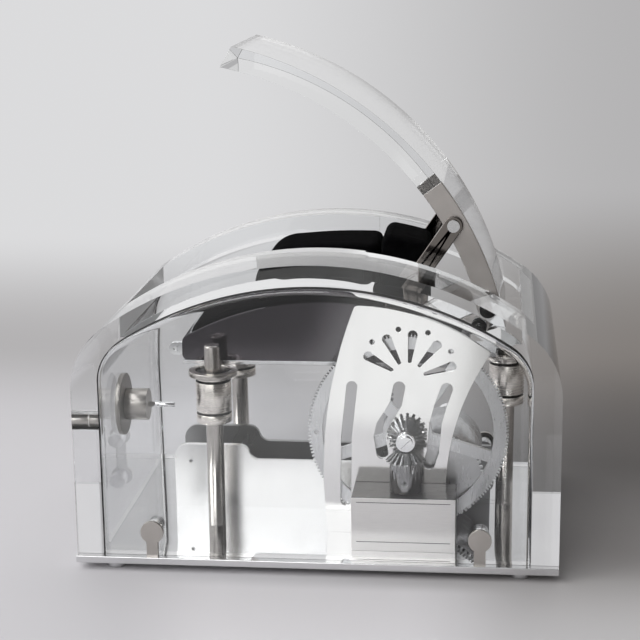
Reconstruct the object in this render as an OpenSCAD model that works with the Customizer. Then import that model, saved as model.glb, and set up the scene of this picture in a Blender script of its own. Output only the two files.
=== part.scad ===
// Transparent wind-up display box: crystal arch case, lifting tray, linked lid and clockwork train.
// +X to the right, +Y to the rear, +Z up. The origin lies on the floor under the centre of the base.

/* [Base] */
// Width of the base plate
base_w = 230; // [200:1:260]
// Ledge of the base ahead of and behind the arch
base_rim = 3.75; // [2:0.25:10]
// Thickness of the base plate
base_t = 3.5; // [2:0.5:6]
// Diameter of a foot
foot_d = 10; // [6:1:16]
// Height of a foot
foot_h = 3.5; // [2:0.5:8]
// Foot centre to the side of the base
foot_in_x = 18; // [8:1:30]
// Foot centre to the front of the base
foot_in_y = 8; // [6:1:30]

/* [Crystal case] */
// Depth of the crystal arch
case_d = 156.5; // [140:0.5:164]
// Height of the crystal arch
case_h = 142.5; // [130:0.5:170]
// Thickness of the side walls
wall_t = 13; // [8:0.5:18]
// Thickness of the roof at its crown
roof_t = 11; // [8:0.5:12]
// Outer radius of the roof
roof_r = 172.5; // [150:0.5:240]
// Outer radius of the shoulders
shoulder_r = 37.5; // [25:0.5:50]
// Inner radius of the roof
vault_r = 169; // [150:0.5:240]
// Inner radius of the shoulders
haunch_r = 23; // [15:0.5:35]
// Thickness of the front and rear panels
panel_t = 8; // [5:0.5:12]
// Gap around the panels
panel_gap = 0.15; // [0.05:0.05:0.5]
// Radius of a panel clip's head
clip_r = 5.5; // [4.5:0.5:8]
// Thickness of a panel clip
clip_t = 2; // [1:0.5:3]
// Height of a clip's screw above the base
clip_rise = 12; // [9:0.5:16]
// Distance of the clips from the side walls
clip_in = 24; // [20:1:30]
// Diameter of the panel studs
stud_d = 8; // [5:0.5:9]

/* [Roof window and lid] */
// End of the roof window to the side of the case
window_end = 18.5; // [18:0.5:24]
// Front edge of the roof window to the front of the case
window_front = 43.25; // [42:0.25:45]
// Rear edge of the roof window to the rear of the case
window_rear = 19.25; // [18:0.25:21]
// Step by which both long edges of the window are cut back beside the arms
window_relief = 3; // [1:0.5:4]
// Clear length of the window past the lid's hinge end
lid_end_gap = 1.2; // [0.8:0.1:3]
// Clear length of the window past the lid's free end
lid_tip_gap = 4.3; // [1.5:0.1:8]
// Slope of the lid's free end from upright
lid_tip_lean = 15; // [0:1:25]
// Thickness of the lid
lid_t = 10.8; // [8:0.2:12]
// Angle between the shut lid and the open lid
lid_angle = 45; // [30:1:50]
// Hinge axis to the hinge end of the window
hinge_in = 16.2; // [15:0.1:18]
// Diameter of the hinge pins
hinge_d = 4; // [3:0.5:5]
// Thickness of a lid arm
arm_t = 2.4; // [1.5:0.1:3]
// Where the arm ends along the shut lid, from the centre
arm_end_x = 23.7; // [20:0.1:32]

/* [Lift linkage] */
// Upper link pivot to the left of the hinge, lid open
link_dx = 16.9; // [14:0.1:20]
// Upper link pivot above the hinge, lid open
link_dz = 36.5; // [32:0.5:40]
// Link length between its pivots
link_l = 60; // [56:1:64]
// Lean of the open link from upright
link_lean = 34.5; // [30:0.5:38]
// Width of a link
link_w = 9; // [7:0.5:11]
// Thickness of a link
link_t = 2; // [1.5:0.1:2.5]
// Diameter of the link pins
link_pin_d = 4; // [3:0.5:5]
// Sideways play of the lower link pin in its slot
link_play = 3.2; // [3:0.1:4]
// Travel of the tray
tray_travel = 31.7; // [28:0.1:32]

/* [Guides] */
// Left columns to the tray's left end
left_col_in = 16.7; // [14:0.1:22]
// Right column past the tray's right end
right_col_out = 18; // [15:0.5:18.5]
// Columns to the long edges of the roof window
col_in = 5; // [2:0.5:7]
// Diameter of a column
col_d = 8.5; // [6:0.5:10]
// Height of a column above the base
col_h = 92.7; // [88:0.1:94]
// Outer diameter of a linear bushing
bush_d = 17.5; // [15:0.5:19]
// Length of a linear bushing
bush_l = 25.4; // [20:0.2:30]
// Radial clearance of the bushing on its column
bush_fit = 0.05; // [0.02:0.01:0.1]
// Diameter of the bushing flange
flange_d = 24; // [22:0.5:26]
// Thickness of the bushing flange
flange_t = 2.6; // [2:0.1:4]

/* [Tray] */
// Height of the carriage plate above the floor, tray raised
carriage_z = 87.2; // [84:0.2:90]
// Thickness of the carriage plate
carriage_t = 2; // [1.5:0.1:3]
// Tray's ends to the side walls
tray_end_gap = 31; // [29:0.5:36]
// Tray's long sides to the edges of the roof window
tray_side_gap = 14.5; // [13.5:0.5:16]
// Height of the tray ends
tray_end_h = 11; // [8:0.5:14]
// Height of the tray at its crown
tray_h = 29.8; // [26:0.2:34]
// Wall of the tray shell
tray_wall = 4; // [3:0.5:6]
// Thickness of the suede lining
lining_t = 2.5; // [1.5:0.5:4]

/* [Movement] */
// Great wheel axis to the right wall
wheel_in = 60.2; // [59.6:0.2:61]
// Great wheel axis above the floor
wheel_z = 58.4; // [57.5:0.1:59]
// Number of teeth of the great wheel
wheel_teeth = 180; // [90:2:180]
// Tip radius of the great wheel
wheel_r = 49; // [44:0.5:50]
// Thickness of the great wheel
wheel_t = 2.2; // [1.5:0.1:2.5]
// Width of the great wheel rim
wheel_rim = 6; // [4:0.5:9]
// Thickness of the front bridge
bridge_t = 2.5; // [2:0.1:3]
// Front bridge ahead of the roof window's edge
bridge_out = 3; // [2.5:0.1:4]
// Width of the arbor cock
cock_w = 28; // [26:1:32]
// Diameter of the wheel arbor
arbor_d = 5; // [4:0.5:6]
// Module of the pinions, rack and barrel gear
tooth_m = 0.8; // [0.8:0.1:0.8]
// Teeth of the train pinion
pinion_teeth = 20; // [20:1:20]
// Teeth of the barrel gear
barrel_teeth = 52; // [52:1:52]
// Pitch radius of the mitre gears at their large end
mitre_r = 9.4; // [9:0.1:9.6]
// Teeth of a mitre gear
mitre_teeth = 18; // [18:2:18]
// Radius of the barrel drum
drum_r = 19.5; // [17:0.5:19.5]
// Thickness of the bearing plates
bearing_t = 3; // [2:0.5:3.5]
// Diameter of the bearing plates' pillars
pillar_d = 7; // [5:0.5:9]
// Diameter of the pillar screws' heads
pillar_screw_d = 5; // [3.5:0.5:7]

/* [Governor block] */
// Width of the governor block
block_w = 50; // [44:1:56]
// Depth of the governor block
block_d = 23; // [21:0.5:24]
// Height of the governor block
block_h = 26.5; // [24:0.5:26.5]
// Thickness of the nameplate
plate_t = 0.8; // [0.5:0.1:1.5]

/* [Release button] */
// Height of the button axis above the floor
button_z = 63.2; // [62:0.1:66]
// Button axis in front of the centre of the base
button_y = 24.2; // [23.5:0.1:26]
// Diameter of the button sleeve
sleeve_d = 9.6; // [8.6:0.1:12]
// Diameter of the button
button_d = 6.5; // [6:0.1:7]
// Diameter of the inner flange
button_flange_d = 31; // [26:1:36]
// Travel of the button
button_travel = 3; // [2:0.5:4]

/* [Hidden] */
$fn = 72;
eps = 0.01;
sides = [-1, 1];

floor_z = foot_h + base_t;
top_z = floor_z + case_h;
half_w = base_w/2;
half_in = half_w - wall_t;
base_d = case_d + 2*base_rim;
roof_cz = top_z - roof_r;
vault_z = top_z - roof_t;
vault_cz = vault_z - vault_r;
front_y = -case_d/2;
clip_x = half_in - clip_in;
clip_z = floor_z + clip_rise;
stud_out = 6;

// The movement lies ahead of the tray, so tray, lid and window share a plane behind the middle.
window_half = half_w - window_end;
window_w = case_d - window_front - window_rear;
window_y = front_y + window_front;
mid_y = window_y + window_w/2;
hinge_x = window_half - hinge_in;
bridge_y = window_y - bridge_out;
tray_half = half_in - tray_end_gap;
tray_l = 2*tray_half;
tray_d = window_w - 2*tray_side_gap;
wheel_x = half_in - wheel_in;

// Layers from the front bridge to the tray, each one gap behind the last.
layer_gap = 0.4;
bridge_back = bridge_y + bridge_t;
wheel_y = bridge_back + layer_gap;
wheel_back = wheel_y + wheel_t;
link_y = wheel_back + 0.3;
lid_y = link_y + link_t + 0.2;
lid_w = 2*(mid_y - lid_y);
pinion_w = 2.2;
pinion_y = wheel_back + layer_gap;
cock_t = 2;
cock_y = pinion_y + pinion_w + layer_gap;
rack_w = 2.4;
rack_y = cock_y + cock_t + layer_gap;
tray_y = mid_y - tray_d/2;

// Hinge axis at half the lid's thickness, and the link's two pivots.
hinge_z = roof_cz + sqrt(pow(roof_r - lid_t/2, 2) - pow(hinge_x, 2));
hinge_fit = 0.06;
hinge_seat = 6;
relief_x = wheel_x - 20.1;
pin_y = window_y - window_relief - hinge_seat;
head_x = hinge_x - link_dx;
head_z = hinge_z + link_dz;
foot_pin_x = head_x - link_l*sin(link_lean);
foot_pin_z = head_z - link_l*cos(link_lean);
foot_pin_gap = 0.35;
link_head_d = 6;
link_head_t = 1.2;
link_boss_d = 9;

tray_z = carriage_z + carriage_t;
tray_crown = tray_z + tray_h;
tray_rise = tray_h - tray_end_h;
// The tray's top is one arc through both ends and the crown.
tray_r = (tray_half*tray_half + tray_rise*tray_rise)/(2*tray_rise);
tray_cz = tray_crown - tray_r;
tray_floor = 3;
tray_round = 3;
cushion_x = [-34.5, 26];
cushion_y = [mid_y - (tray_d - 21)/2, mid_y + (tray_d - 21)/2];
cushion_top = [tray_crown + 25.5, tray_crown + 27.2];
cushion_round = 17;
rest_x = [27, 51];
rest_rise = 34.7;
ear_l = 13;
ear_w = 22;

left_col_x = tray_half - left_col_in;
right_col_x = tray_half + right_col_out;
columns = [
    [-left_col_x, window_y + col_in], [-left_col_x, window_y + window_w - col_in], [right_col_x, mid_y]
];
// Direction from each column to the tray plate.
column_turn = [90, -90, 180];
column_screw_d = 4;
bush_top = carriage_z - 0.8;
groove_w = 1.2;
groove_in = 4.4;

pinion_r = tooth_m*pinion_teeth/2;
barrel_r = tooth_m*barrel_teeth/2;
barrel_gap = pinion_r + barrel_r;
barrel_lean = 34;
barrel_x = wheel_x + barrel_gap*sin(barrel_lean);
barrel_z = wheel_z - barrel_gap*cos(barrel_lean);
barrel_neck_d = 12;
barrel_arbor_d = 6;
drum_wall = 1.9;
run_fit = 0.05;
hub_r = 12;
spokes = 5;
spoke_w = 6;
tooth_h = 1.3;

tip_add = 0.4;
root_ded = 1.6;
mitre_in = 5;
apex_y = bridge_y - 2.4 - mitre_r;
nose_l = 9;
nose_r = 4.6;
mitre_hub_d = 15.6;
mitre_hub_h = 12;
block_y = bridge_y - 0.3 - block_d;
block_top = floor_z + block_h;
block_wall = 3;
gov_m = 0.4;
gov_teeth = 28;
fly_teeth = 8;
gov_shaft_d = 3;
fly_x = wheel_x + gov_m*(gov_teeth + fly_teeth)/2;

plate_front_y = -5;
plate_rear_y = 26;
plate_end_x = -half_in + 22;
plate_high = [33.1, 33.7];
plate_low = [25.2, 25.5];
step_x = [plate_end_x + 33.5, plate_end_x + 34.3];
step_r = 5.5;
plate_right = [wheel_x - 9.8, wheel_x + 40.2];
drum_y = rack_y + rack_w + 0.6;
drum_end = plate_rear_y - 2.4;
ratchet_y = plate_rear_y + bearing_t + 0.4;
ratchet_t = 2;
ratchet_r = 12;
ratchet_teeth = 24;
click_x = barrel_x + 15.5;
click_z = barrel_z - 9;

button_flange_t = 2.5;
button_l = 6.5;
button_hub_d = 15.8;
button_hub_l = 11;
button_hub_x = -half_in + button_flange_t + 0.3;
hub_z = button_z + 4;
rod_d = 2.6;
rod_end_x = -half_in + 27;

// Places a flat shape, drawn in X and Z, as a plate from y to y + t.
module plate_at(y, t) {
    translate([0, y + t, 0])
        rotate([90, 0, 0])
            linear_extrude(t) children();
}

module rod_at(x, y, z, d, l) {
    translate([x, y + l, z])
        rotate([90, 0, 0])
            cylinder(d = d, h = l);
}

module rod_along_x(x, y, z, d, l) {
    translate([x, y, z])
        rotate([0, 90, 0])
            cylinder(d = d, h = l);
}

// Flat bar from p to q with square ends, for slots and arms.
module bar(p, q, w) {
    run = q - p;
    translate(p)
        rotate(atan2(run[1], run[0]))
            translate([0, -w/2]) square([norm(run), w]);
}

module slot(p, q, w) {
    bar(p, q, w);
    for (end = [p, q])
        translate(end) circle(d = w);
}

// Slot along a chain of points, each with its own round.
module slot_chain(points, w) {
    for (i = [0:len(points) - 2])
        bar(points[i], points[i + 1], w - 0.06);
    for (p = points)
        translate(p) circle(d = w);
}

// Spur gear outline with straight-flanked teeth, one tooth along +X.
function spur_points(m, n, add, ded) = [
    for (i = [0:n - 1], corner = [[-0.3, -ded], [-0.15, add], [0.15, add], [0.3, -ded]])
        let (a = 360*(i + corner[0])/n, r = m*(n/2 + corner[1]))
            [r*cos(a), r*sin(a)]
];

module spur(m, n, add = 0.75, ded = 1.15) {
    polygon(spur_points(m, n, add, ded));
}

// Arch outline: upright sides, round shoulders and one roof arc.
module arch(half, r, cz, shoulder, z0) {
    reach = r - shoulder;
    lean = asin((half - shoulder)/reach);
    spring = cz + reach*cos(lean);
    far = 1.2*r/cos(lean);
    translate([-half, z0]) square([2*half, spring - z0]);
    for (side = sides)
        translate([side*(half - shoulder), spring]) circle(shoulder);
    intersection() {
        translate([0, cz]) circle(r, $fn = 180);
        polygon([[0, cz], [-far*sin(lean), cz + far*cos(lean)], [far*sin(lean), cz + far*cos(lean)]]);
        translate([-half, spring - shoulder/2]) square([2*half, r]);
    }
}

module outer_arch() {
    arch(half_w, roof_r, roof_cz, shoulder_r, floor_z);
}

module inner_arch(gap, z0) {
    arch(half_in - gap, vault_r - gap, vault_cz, haunch_r - gap, z0);
}

module base_plate() {
    color("silver")
        difference() {
            translate([-half_w, -base_d/2, foot_h]) cube([base_w, base_d, base_t]);
            for (c = columns)
                translate([c[0], c[1], 0]) cylinder(d = column_screw_d, h = floor_z + eps);
        }
}

module base_feet() {
    color("gainsboro")
        for (x = sides, y = sides)
            translate([x*(half_w - foot_in_x), y*(base_d/2 - foot_in_y), 0]) {
                cylinder(d1 = foot_d - 1, d2 = foot_d, h = 0.5);
                translate([0, 0, 0.5]) cylinder(d = foot_d, h = foot_h - 0.5);
            }
}

module crystal_body() {
    color([0.86, 0.9, 0.92, 0.35])
        difference() {
            plate_at(front_y, case_d) outer_arch();
            plate_at(front_y - 1, case_d + 2) inner_arch(0, floor_z - 1);
            translate([-window_half, window_y, floor_z + case_h/2])
                cube([2*window_half, window_w, case_h]);
            translate([relief_x, window_y - window_relief, floor_z + case_h/2])
                cube([window_half - relief_x, window_w + 2*window_relief, case_h]);
            rod_at(hinge_x, pin_y, hinge_z, hinge_d, 2*(mid_y - pin_y));
            rod_along_x(-half_w - 1, -button_y, button_z, sleeve_d, wall_t + 2);
        }
}

module panel(y) {
    difference() {
        plate_at(y, panel_t) inner_arch(panel_gap, floor_z);
        for (side = sides)
            rod_at(side*clip_x, y - 1, clip_z, stud_d, panel_t + 2);
    }
}

module front_panel() {
    color([0.86, 0.9, 0.92, 0.3])
        panel(front_y);
}

module rear_panel() {
    color([0.86, 0.9, 0.92, 0.3])
        difference() {
            panel(-front_y - panel_t);
            rod_at(barrel_x, -front_y - panel_t - 1, barrel_z, barrel_neck_d, panel_t + 2);
        }
}

module clip_shape() {
    circle(clip_r);
    translate([-clip_r/2, floor_z - clip_z]) square([clip_r, clip_z - floor_z]);
}

module panel_clips() {
    color("silver")
        for (side = sides, y = [front_y - clip_t, -front_y])
            translate([side*clip_x, 0, clip_z])
                plate_at(y, clip_t) clip_shape();
}

module panel_studs() {
    color("gainsboro")
        for (side = sides, y = [front_y, -front_y - panel_t - stud_out])
            rod_at(side*clip_x, y, clip_z, stud_d, panel_t + stud_out);
}

module hinge_pin() {
    face = window_y - window_relief;
    rod_at(hinge_x, pin_y, hinge_z, hinge_d, lid_y + arm_t - 0.2 - pin_y);
    rod_at(hinge_x, face, hinge_z, 2*hinge_d, lid_y - face - 0.3);
}

module hinge_pins() {
    color("silver") {
        hinge_pin();
        to_rear() hinge_pin();
    }
}

module guide_columns() {
    color("silver")
        for (c = columns)
            translate([c[0], c[1], floor_z]) {
                cylinder(d = col_d, h = col_h - 0.8);
                translate([0, 0, col_h - 0.8]) cylinder(d1 = col_d, d2 = col_d - 1.6, h = 0.8);
            }
}

module column_screws() {
    color("dimgray")
        for (c = columns)
            translate([c[0], c[1], foot_h]) cylinder(d = column_screw_d, h = base_t);
}

// Bridge outline, from the wheel's axis: three large arcs, a straight foot and one rounded corner.
module bridge_shape() {
    left_r = 231;
    crown_r = 110;
    waist_r = 126;
    corner = 3;
    left_c = [left_r - 41.1, 38];
    crown_c = [-26.8, 12];
    span = norm(left_c - crown_c);
    reach = left_r - corner;
    along = (reach*reach - pow(crown_r - corner, 2) + span*span)/(2*span);
    dir = (crown_c - left_c)/span;
    corner_c = left_c + along*dir + sqrt(reach*reach - along*along)*[dir[1], -dir[0]];
    from = atan2(corner_c[1] - left_c[1], corner_c[0] - left_c[0]);
    to = atan2(corner_c[1] - crown_c[1], corner_c[0] - crown_c[0]);
    facets = [for (k = [0:0.2:1]) corner_c + corner*[cos(from + k*(to - from)), sin(from + k*(to - from))]];
    ends = [2*facets[0] - facets[1], 2*facets[5] - facets[4]];
    difference() {
        intersection() {
            translate(left_c) circle(left_r, $fn = 240);
            translate(crown_c) circle(crown_r, $fn = 240);
            translate([-41.8, floor_z]) square([90, 130]);
        }
        translate([19 + waist_r, 30]) circle(waist_r, $fn = 240);
        translate([19.2, 0]) square([40, 30]);
        polygon(concat([ends[0] + [-8, 14], ends[0] + [-8, 0], ends[0]], [for (i = [1:4]) facets[i]],
            [ends[1], ends[1] + [0, 8]]));
    }
}

// Fan of five tapered petals with round holes between their tips.
module bridge_motif() {
    petal_turn = 33;
    translate([0.2, 86]) {
        for (i = [-2:2])
            rotate(-petal_turn*i - 6) {
                translate([0, 9]) circle(0.9);
                translate([0, 22]) circle(2.3);
                polygon([[-0.85, 9], [0.85, 9], [2.2, 22], [-2.2, 22]]);
            }
        for (i = [-1.5:1.5])
            rotate(-petal_turn*i - 6)
                translate([0, 25]) circle(1.3);
    }
}

module front_bridge() {
    color("silver")
        difference() {
            plate_at(bridge_y, bridge_t)
                translate([wheel_x, 0])
                    difference() {
                        bridge_shape();
                        slot_chain([[-26.9, 81.8], [-29.7, 56.3], [-30.2, 23.6]], 5.3);
                        slot_chain([[-3.9, 81.7], [-5.5, 73.4], [-8.3, 68.5], [-12, 62.6], [-13.3, 56.7],
                            [-12.1, 48.4]], 5.9);
                        slot_chain([[19, 81.4], [16.1, 72.9], [13.8, 64.1], [13.2, 57.3], [12.5, 49.4],
                            [10.7, 43.5]], 5.9);
                        bridge_motif();
                    }
            rod_at(wheel_x, bridge_y - 1, wheel_z, arbor_d + 2*run_fit, bridge_t + 2);
        }
}

module arbor_cock() {
    color("silver")
        difference() {
            plate_at(cock_y, cock_t) {
                translate([barrel_x + 7.9 - cock_w, floor_z]) square([cock_w, barrel_z + 10 - floor_z]);
                translate([wheel_x - 8, floor_z]) square([16, wheel_z - floor_z]);
                translate([wheel_x, wheel_z]) circle(8);
            }
            rod_at(wheel_x, cock_y - 1, wheel_z, arbor_d + 2*run_fit, cock_t + 2);
            rod_at(barrel_x, cock_y - 1, barrel_z, barrel_neck_d + 2*run_fit, cock_t + 2);
        }
}

// Long bearing plate: a high shoulder at its left end, then a smooth step down.
module bearing_shape(i) {
    corner = 7;
    high = floor_z + plate_high[i];
    low = floor_z + plate_low[i];
    drop = high - low;
    run = sqrt(4*step_r*drop - drop*drop);
    top_c = [step_x[i], high - step_r];
    low_c = [step_x[i] + run, low + step_r];
    translate([plate_end_x, floor_z]) square([plate_right[i] - plate_end_x, low - floor_z]);
    translate([plate_end_x, floor_z]) square([step_x[i] - plate_end_x, high - corner - floor_z]);
    translate([plate_end_x + corner, floor_z]) square([step_x[i] - plate_end_x - corner, high - floor_z]);
    translate([plate_end_x + corner, high - corner]) circle(corner);
    difference() {
        polygon([[step_x[i] - 1, low - 3], [low_c[0], low - 3], low_c, top_c, top_c + [-1, 0]]);
        translate(low_c) circle(step_r);
    }
    translate(top_c) circle(step_r);
}

module front_bearing_plate() {
    color("whitesmoke")
        difference() {
            plate_at(plate_front_y, bearing_t) bearing_shape(0);
            rod_at(plate_end_x + 8.4, plate_front_y - 1, floor_z + 24, 2, bearing_t + 2);
        }
}

module rear_bearing_plate() {
    color("gray")
        difference() {
            plate_at(plate_rear_y, bearing_t) {
                bearing_shape(1);
                translate([barrel_x, barrel_z]) circle(10);
            }
            rod_at(barrel_x, plate_rear_y - 1, barrel_z, barrel_arbor_d + 2*run_fit, bearing_t + 2);
        }
}

pillars = [[plate_end_x + 10, 9], [plate_end_x + 50, 9], [wheel_x - 19.8, 9]];
pillar_y = plate_front_y + bearing_t;

module plate_pillars() {
    color("silver")
        for (p = pillars)
            rod_at(p[0], pillar_y, floor_z + p[1], pillar_d, plate_rear_y - pillar_y);
}

module plate_screws() {
    color("dimgray")
        for (p = pillars)
            rod_at(p[0], plate_rear_y + bearing_t, floor_z + p[1], pillar_screw_d, 1.4);
}

module governor_block() {
    color("silver")
        difference() {
            translate([wheel_x - block_w/2 - 0.6, block_y, floor_z]) cube([block_w, block_d, block_h]);
            translate([wheel_x - block_w/2 - 0.6 + block_wall, block_y + block_wall, floor_z - 1])
                cube([block_w - 2*block_wall, block_d - 2*block_wall, block_h - block_wall + 1]);
            translate([wheel_x, apex_y, floor_z])
                cylinder(d = gov_shaft_d + 2*run_fit, h = block_h + 1);
        }
}

module nameplate() {
    color("whitesmoke")
        translate([wheel_x - block_w/2 - 0.6, block_y - plate_t, floor_z])
            cube([block_w, plate_t, block_h]);
}

module button_sleeve() {
    color("silver")
        difference() {
            rod_along_x(-half_w, -button_y, button_z, sleeve_d, wall_t);
            rod_along_x(-half_w - 1, -button_y, button_z, button_d + 2*run_fit, wall_t + 2);
        }
}

module button_flange() {
    color("gray")
        difference() {
            rod_along_x(-half_in, -button_y, hub_z, button_flange_d, button_flange_t);
            rod_along_x(-half_in - 1, -button_y, button_z, rod_d + 2*run_fit, button_flange_t + 2);
        }
}

// Button with its stem, which passes the spring and the flange into the hub.
module push_button() {
    stem_x = -half_w + button_l;
    color("silver") {
        rod_along_x(-half_w, -button_y, button_z, button_d, button_l);
        rod_along_x(stem_x - eps, -button_y, button_z, rod_d, button_hub_x - stem_x + eps);
    }
}

module release_rod() {
    start = button_hub_x + button_hub_l;
    color("gainsboro")
        rod_along_x(start, -button_y, hub_z, rod_d, rod_end_x - start);
}

module button_hub() {
    color("silver")
        difference() {
            rod_along_x(button_hub_x, -button_y, hub_z, button_hub_d, button_hub_l);
            translate([button_hub_x + button_hub_l/2, -button_y, hub_z - button_hub_d/2 - 1])
                cylinder(d = 3, h = 4);
        }
}

module button_spring() {
    start = -half_w + button_l;
    color("dimgray")
        difference() {
            rod_along_x(start, -button_y, button_z, button_d - 1, -half_in - start);
            rod_along_x(start - 1, -button_y, button_z, button_d - 2.4, -half_in - start + 2);
        }
}

module click() {
    nose = ratchet_r + 0.4;
    color("silver")
        difference() {
            plate_at(ratchet_y, ratchet_t) {
                translate([click_x, click_z]) circle(3.2);
                slot([click_x, click_z], [barrel_x + nose*cos(8) + 1, barrel_z + nose*sin(8)], 2);
            }
            rod_at(click_x, ratchet_y - 1, click_z, 1.6, ratchet_t + 2);
        }
}

module click_spring() {
    color("dimgray")
        plate_at(ratchet_y, ratchet_t)
            slot_chain([[click_x + 3.8, click_z - 2], [click_x + 3.8, click_z + 6]], 0.8);
    color("dimgray")
        plate_at(plate_rear_y + bearing_t, ratchet_y + ratchet_t - plate_rear_y - bearing_t)
            translate([click_x + 3.8, click_z - 5]) circle(3);
}

// Turns pieces drawn with the lid shut to the open lid's place.
module lid_open() {
    translate([hinge_x, 0, hinge_z])
        rotate([0, lid_angle, 0])
            translate([-hinge_x, 0, -hinge_z]) children();
}

// Band of the roof as thick as the lid, from one angle to another, both from upright.
module roof_band(from, to) {
    far = 2*roof_r;
    translate([0, roof_cz])
        intersection() {
            difference() {
                circle(roof_r, $fn = 240);
                circle(roof_r - lid_t, $fn = 240);
            }
            polygon([[0, 0], [far*sin(from), far*cos(from)], [far*sin((from + to)/2), 1.3*far],
                [far*sin(to), far*cos(to)]]);
        }
}

arm_start = asin(arm_end_x/roof_r);
hinge_turn = asin(hinge_x/(roof_r - lid_t/2));

module lid_crystal() {
    tip_x = lid_tip_gap - window_half;
    tip_z = roof_cz + sqrt(roof_r*roof_r - tip_x*tip_x);
    lean = tan(lid_tip_lean);
    right = window_half - lid_end_gap;
    color([0.86, 0.9, 0.92, 0.35])
        lid_open()
            difference() {
                plate_at(lid_y, lid_w)
                    intersection() {
                        roof_band(-40, 40);
                        polygon([[tip_x + lean*tip_z, 0], [right, 0], [right, top_z + 1],
                            [tip_x - lean*(top_z + 1 - tip_z), top_z + 1]]);
                    }
                for (y = [lid_y - 1, lid_y + lid_w - arm_t])
                    plate_at(y, arm_t + 1)
                        translate([0, roof_cz])
                            polygon([[0, 0], [300*sin(arm_start), 300*cos(arm_start)], [300, 300], [300, 0]]);
            }
}

module lid_arm(y) {
    lid_open()
        difference() {
            plate_at(y, arm_t) {
                roof_band(arm_start, hinge_turn);
                translate([hinge_x, hinge_z]) circle(lid_t/2);
            }
            rod_at(hinge_x, y - 1, hinge_z, hinge_d + 2*hinge_fit, arm_t + 2);
        }
}

module lid_arm_front() {
    color([0.72, 0.7, 0.68])
        difference() {
            lid_arm(lid_y);
            rod_at(head_x, lid_y - 1, head_z, link_pin_d, arm_t + 2);
        }
}

module lid_arm_rear() {
    color([0.72, 0.7, 0.68])
        difference() {
            lid_arm(lid_y + lid_w - arm_t);
            rod_at(head_x, lid_y + lid_w - arm_t - 1, head_z, link_pin_d, arm_t + 2);
        }
}

module link_screw() {
    rod_at(head_x, link_y, head_z, link_pin_d, lid_y + arm_t - link_y);
    rod_at(head_x, link_y - link_head_t - 0.1, head_z, link_head_d, link_head_t);
    rod_at(head_x, link_y - 0.1, head_z, link_pin_d, 0.1 + eps);
}

module to_rear() {
    translate([0, 2*mid_y, 0])
        mirror([0, 1, 0]) children();
}

module link_screws() {
    color("silver") {
        link_screw();
        to_rear() link_screw();
    }
}

module lift_link() {
    foot = [foot_pin_x, foot_pin_z];
    head = [head_x, head_z];
    eye = 2*link_play + link_pin_d + 2*foot_pin_gap + 5;
    difference() {
        plate_at(link_y, link_t) {
            slot(foot, head, link_w);
            translate(foot) circle(d = eye);
        }
        rod_at(head_x, link_y - 1, head_z, link_pin_d + 2*hinge_fit, link_t + 2);
        plate_at(link_y - 1, link_t + 2)
            translate(foot)
                rotate(-link_lean)
                    slot([-link_play, 0], [link_play, 0], link_pin_d + 2*foot_pin_gap);
    }
}

module lift_link_front() {
    color("lightgray")
        lift_link();
}

module lift_link_rear() {
    color("lightgray")
        to_rear() lift_link();
}

module tray_pin() {
    boss_y = link_y + link_t + 0.3;
    rod_at(foot_pin_x, link_y, foot_pin_z, link_pin_d, boss_y - link_y + eps);
    rod_at(foot_pin_x, boss_y, foot_pin_z, link_boss_d, tray_y - boss_y);
}

module tray_link_pins() {
    color("silver") {
        tray_pin();
        to_rear() tray_pin();
    }
}

module carriage_plate() {
    color("gainsboro")
        translate([0, 0, carriage_z]) {
            translate([-tray_half, tray_y, 0]) cube([tray_l, tray_d, carriage_t]);
            translate([tray_half - 1, mid_y - ear_w/2, 0]) cube([ear_l + 1, ear_w, carriage_t]);
        }
}

module bushing_flanges() {
    color("silver")
        for (i = [0:2])
            translate([columns[i][0], columns[i][1], carriage_z - flange_t])
                difference() {
                    union() {
                        cylinder(d = flange_d, h = flange_t);
                        rotate(column_turn[i])
                            translate([0, -6, 0]) cube([19, 12, flange_t]);
                    }
                    translate([0, 0, -1]) cylinder(d = bush_d, h = flange_t + 2);
                }
}

module linear_bushings() {
    color("silver")
        for (c = columns)
            translate([c[0], c[1], bush_top - bush_l])
                difference() {
                    cylinder(d = bush_d, h = bush_l);
                    translate([0, 0, -1]) cylinder(d = col_d + 2*bush_fit, h = bush_l + 2);
                    for (z = [groove_in, bush_l - groove_in - groove_w + 0.9])
                        translate([0, 0, z])
                            difference() {
                                cylinder(d = bush_d + 1, h = groove_w);
                                cylinder(d = bush_d - 1.2, h = groove_w);
                            }
                }
}

// Outline of the tray under its arc, trimmed to half its length.
module tray_arch(half, r, z0) {
    intersection() {
        translate([0, tray_cz]) circle(r, $fn = 240);
        translate([-half, z0]) square([2*half, tray_r]);
    }
}

// Outline of the shell: the arc, with its upper and lower corners rounded.
module shell_shape() {
    difference() {
        arch(tray_half, tray_r, tray_cz, tray_round, tray_z);
        for (side = sides)
            difference() {
                translate([side*(tray_half - tray_round/2 + 1), tray_z + tray_round/2 - 1])
                    square(tray_round + 2, center = true);
                translate([side*(tray_half - tray_round), tray_z + tray_round]) circle(tray_round);
            }
    }
}

module tray_shell() {
    inner = tray_half - tray_wall;
    color([0.22, 0.2, 0.23])
        difference() {
            plate_at(tray_y, tray_d) shell_shape();
            translate([-inner, tray_y + tray_wall, tray_z + tray_floor])
                cube([2*inner, tray_d - 2*tray_wall, tray_h]);
        }
}

module tray_lining() {
    seat = lining_t + 4;
    color([0.03, 0.03, 0.035])
        difference() {
            plate_at(tray_y + tray_wall, tray_d - 2*tray_wall)
                tray_arch(tray_half - tray_wall, tray_r + lining_t, tray_z + tray_floor);
            translate([cushion_x[0], cushion_y[0], tray_crown - seat])
                cube([cushion_x[1] - cushion_x[0], cushion_y[1] - cushion_y[0], 2*seat]);
            translate([rest_x[0], cushion_y[0], tray_crown - 2*seat])
                cube([rest_x[1] - rest_x[0], cushion_y[1] - cushion_y[0], 4*seat]);
        }
}

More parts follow.
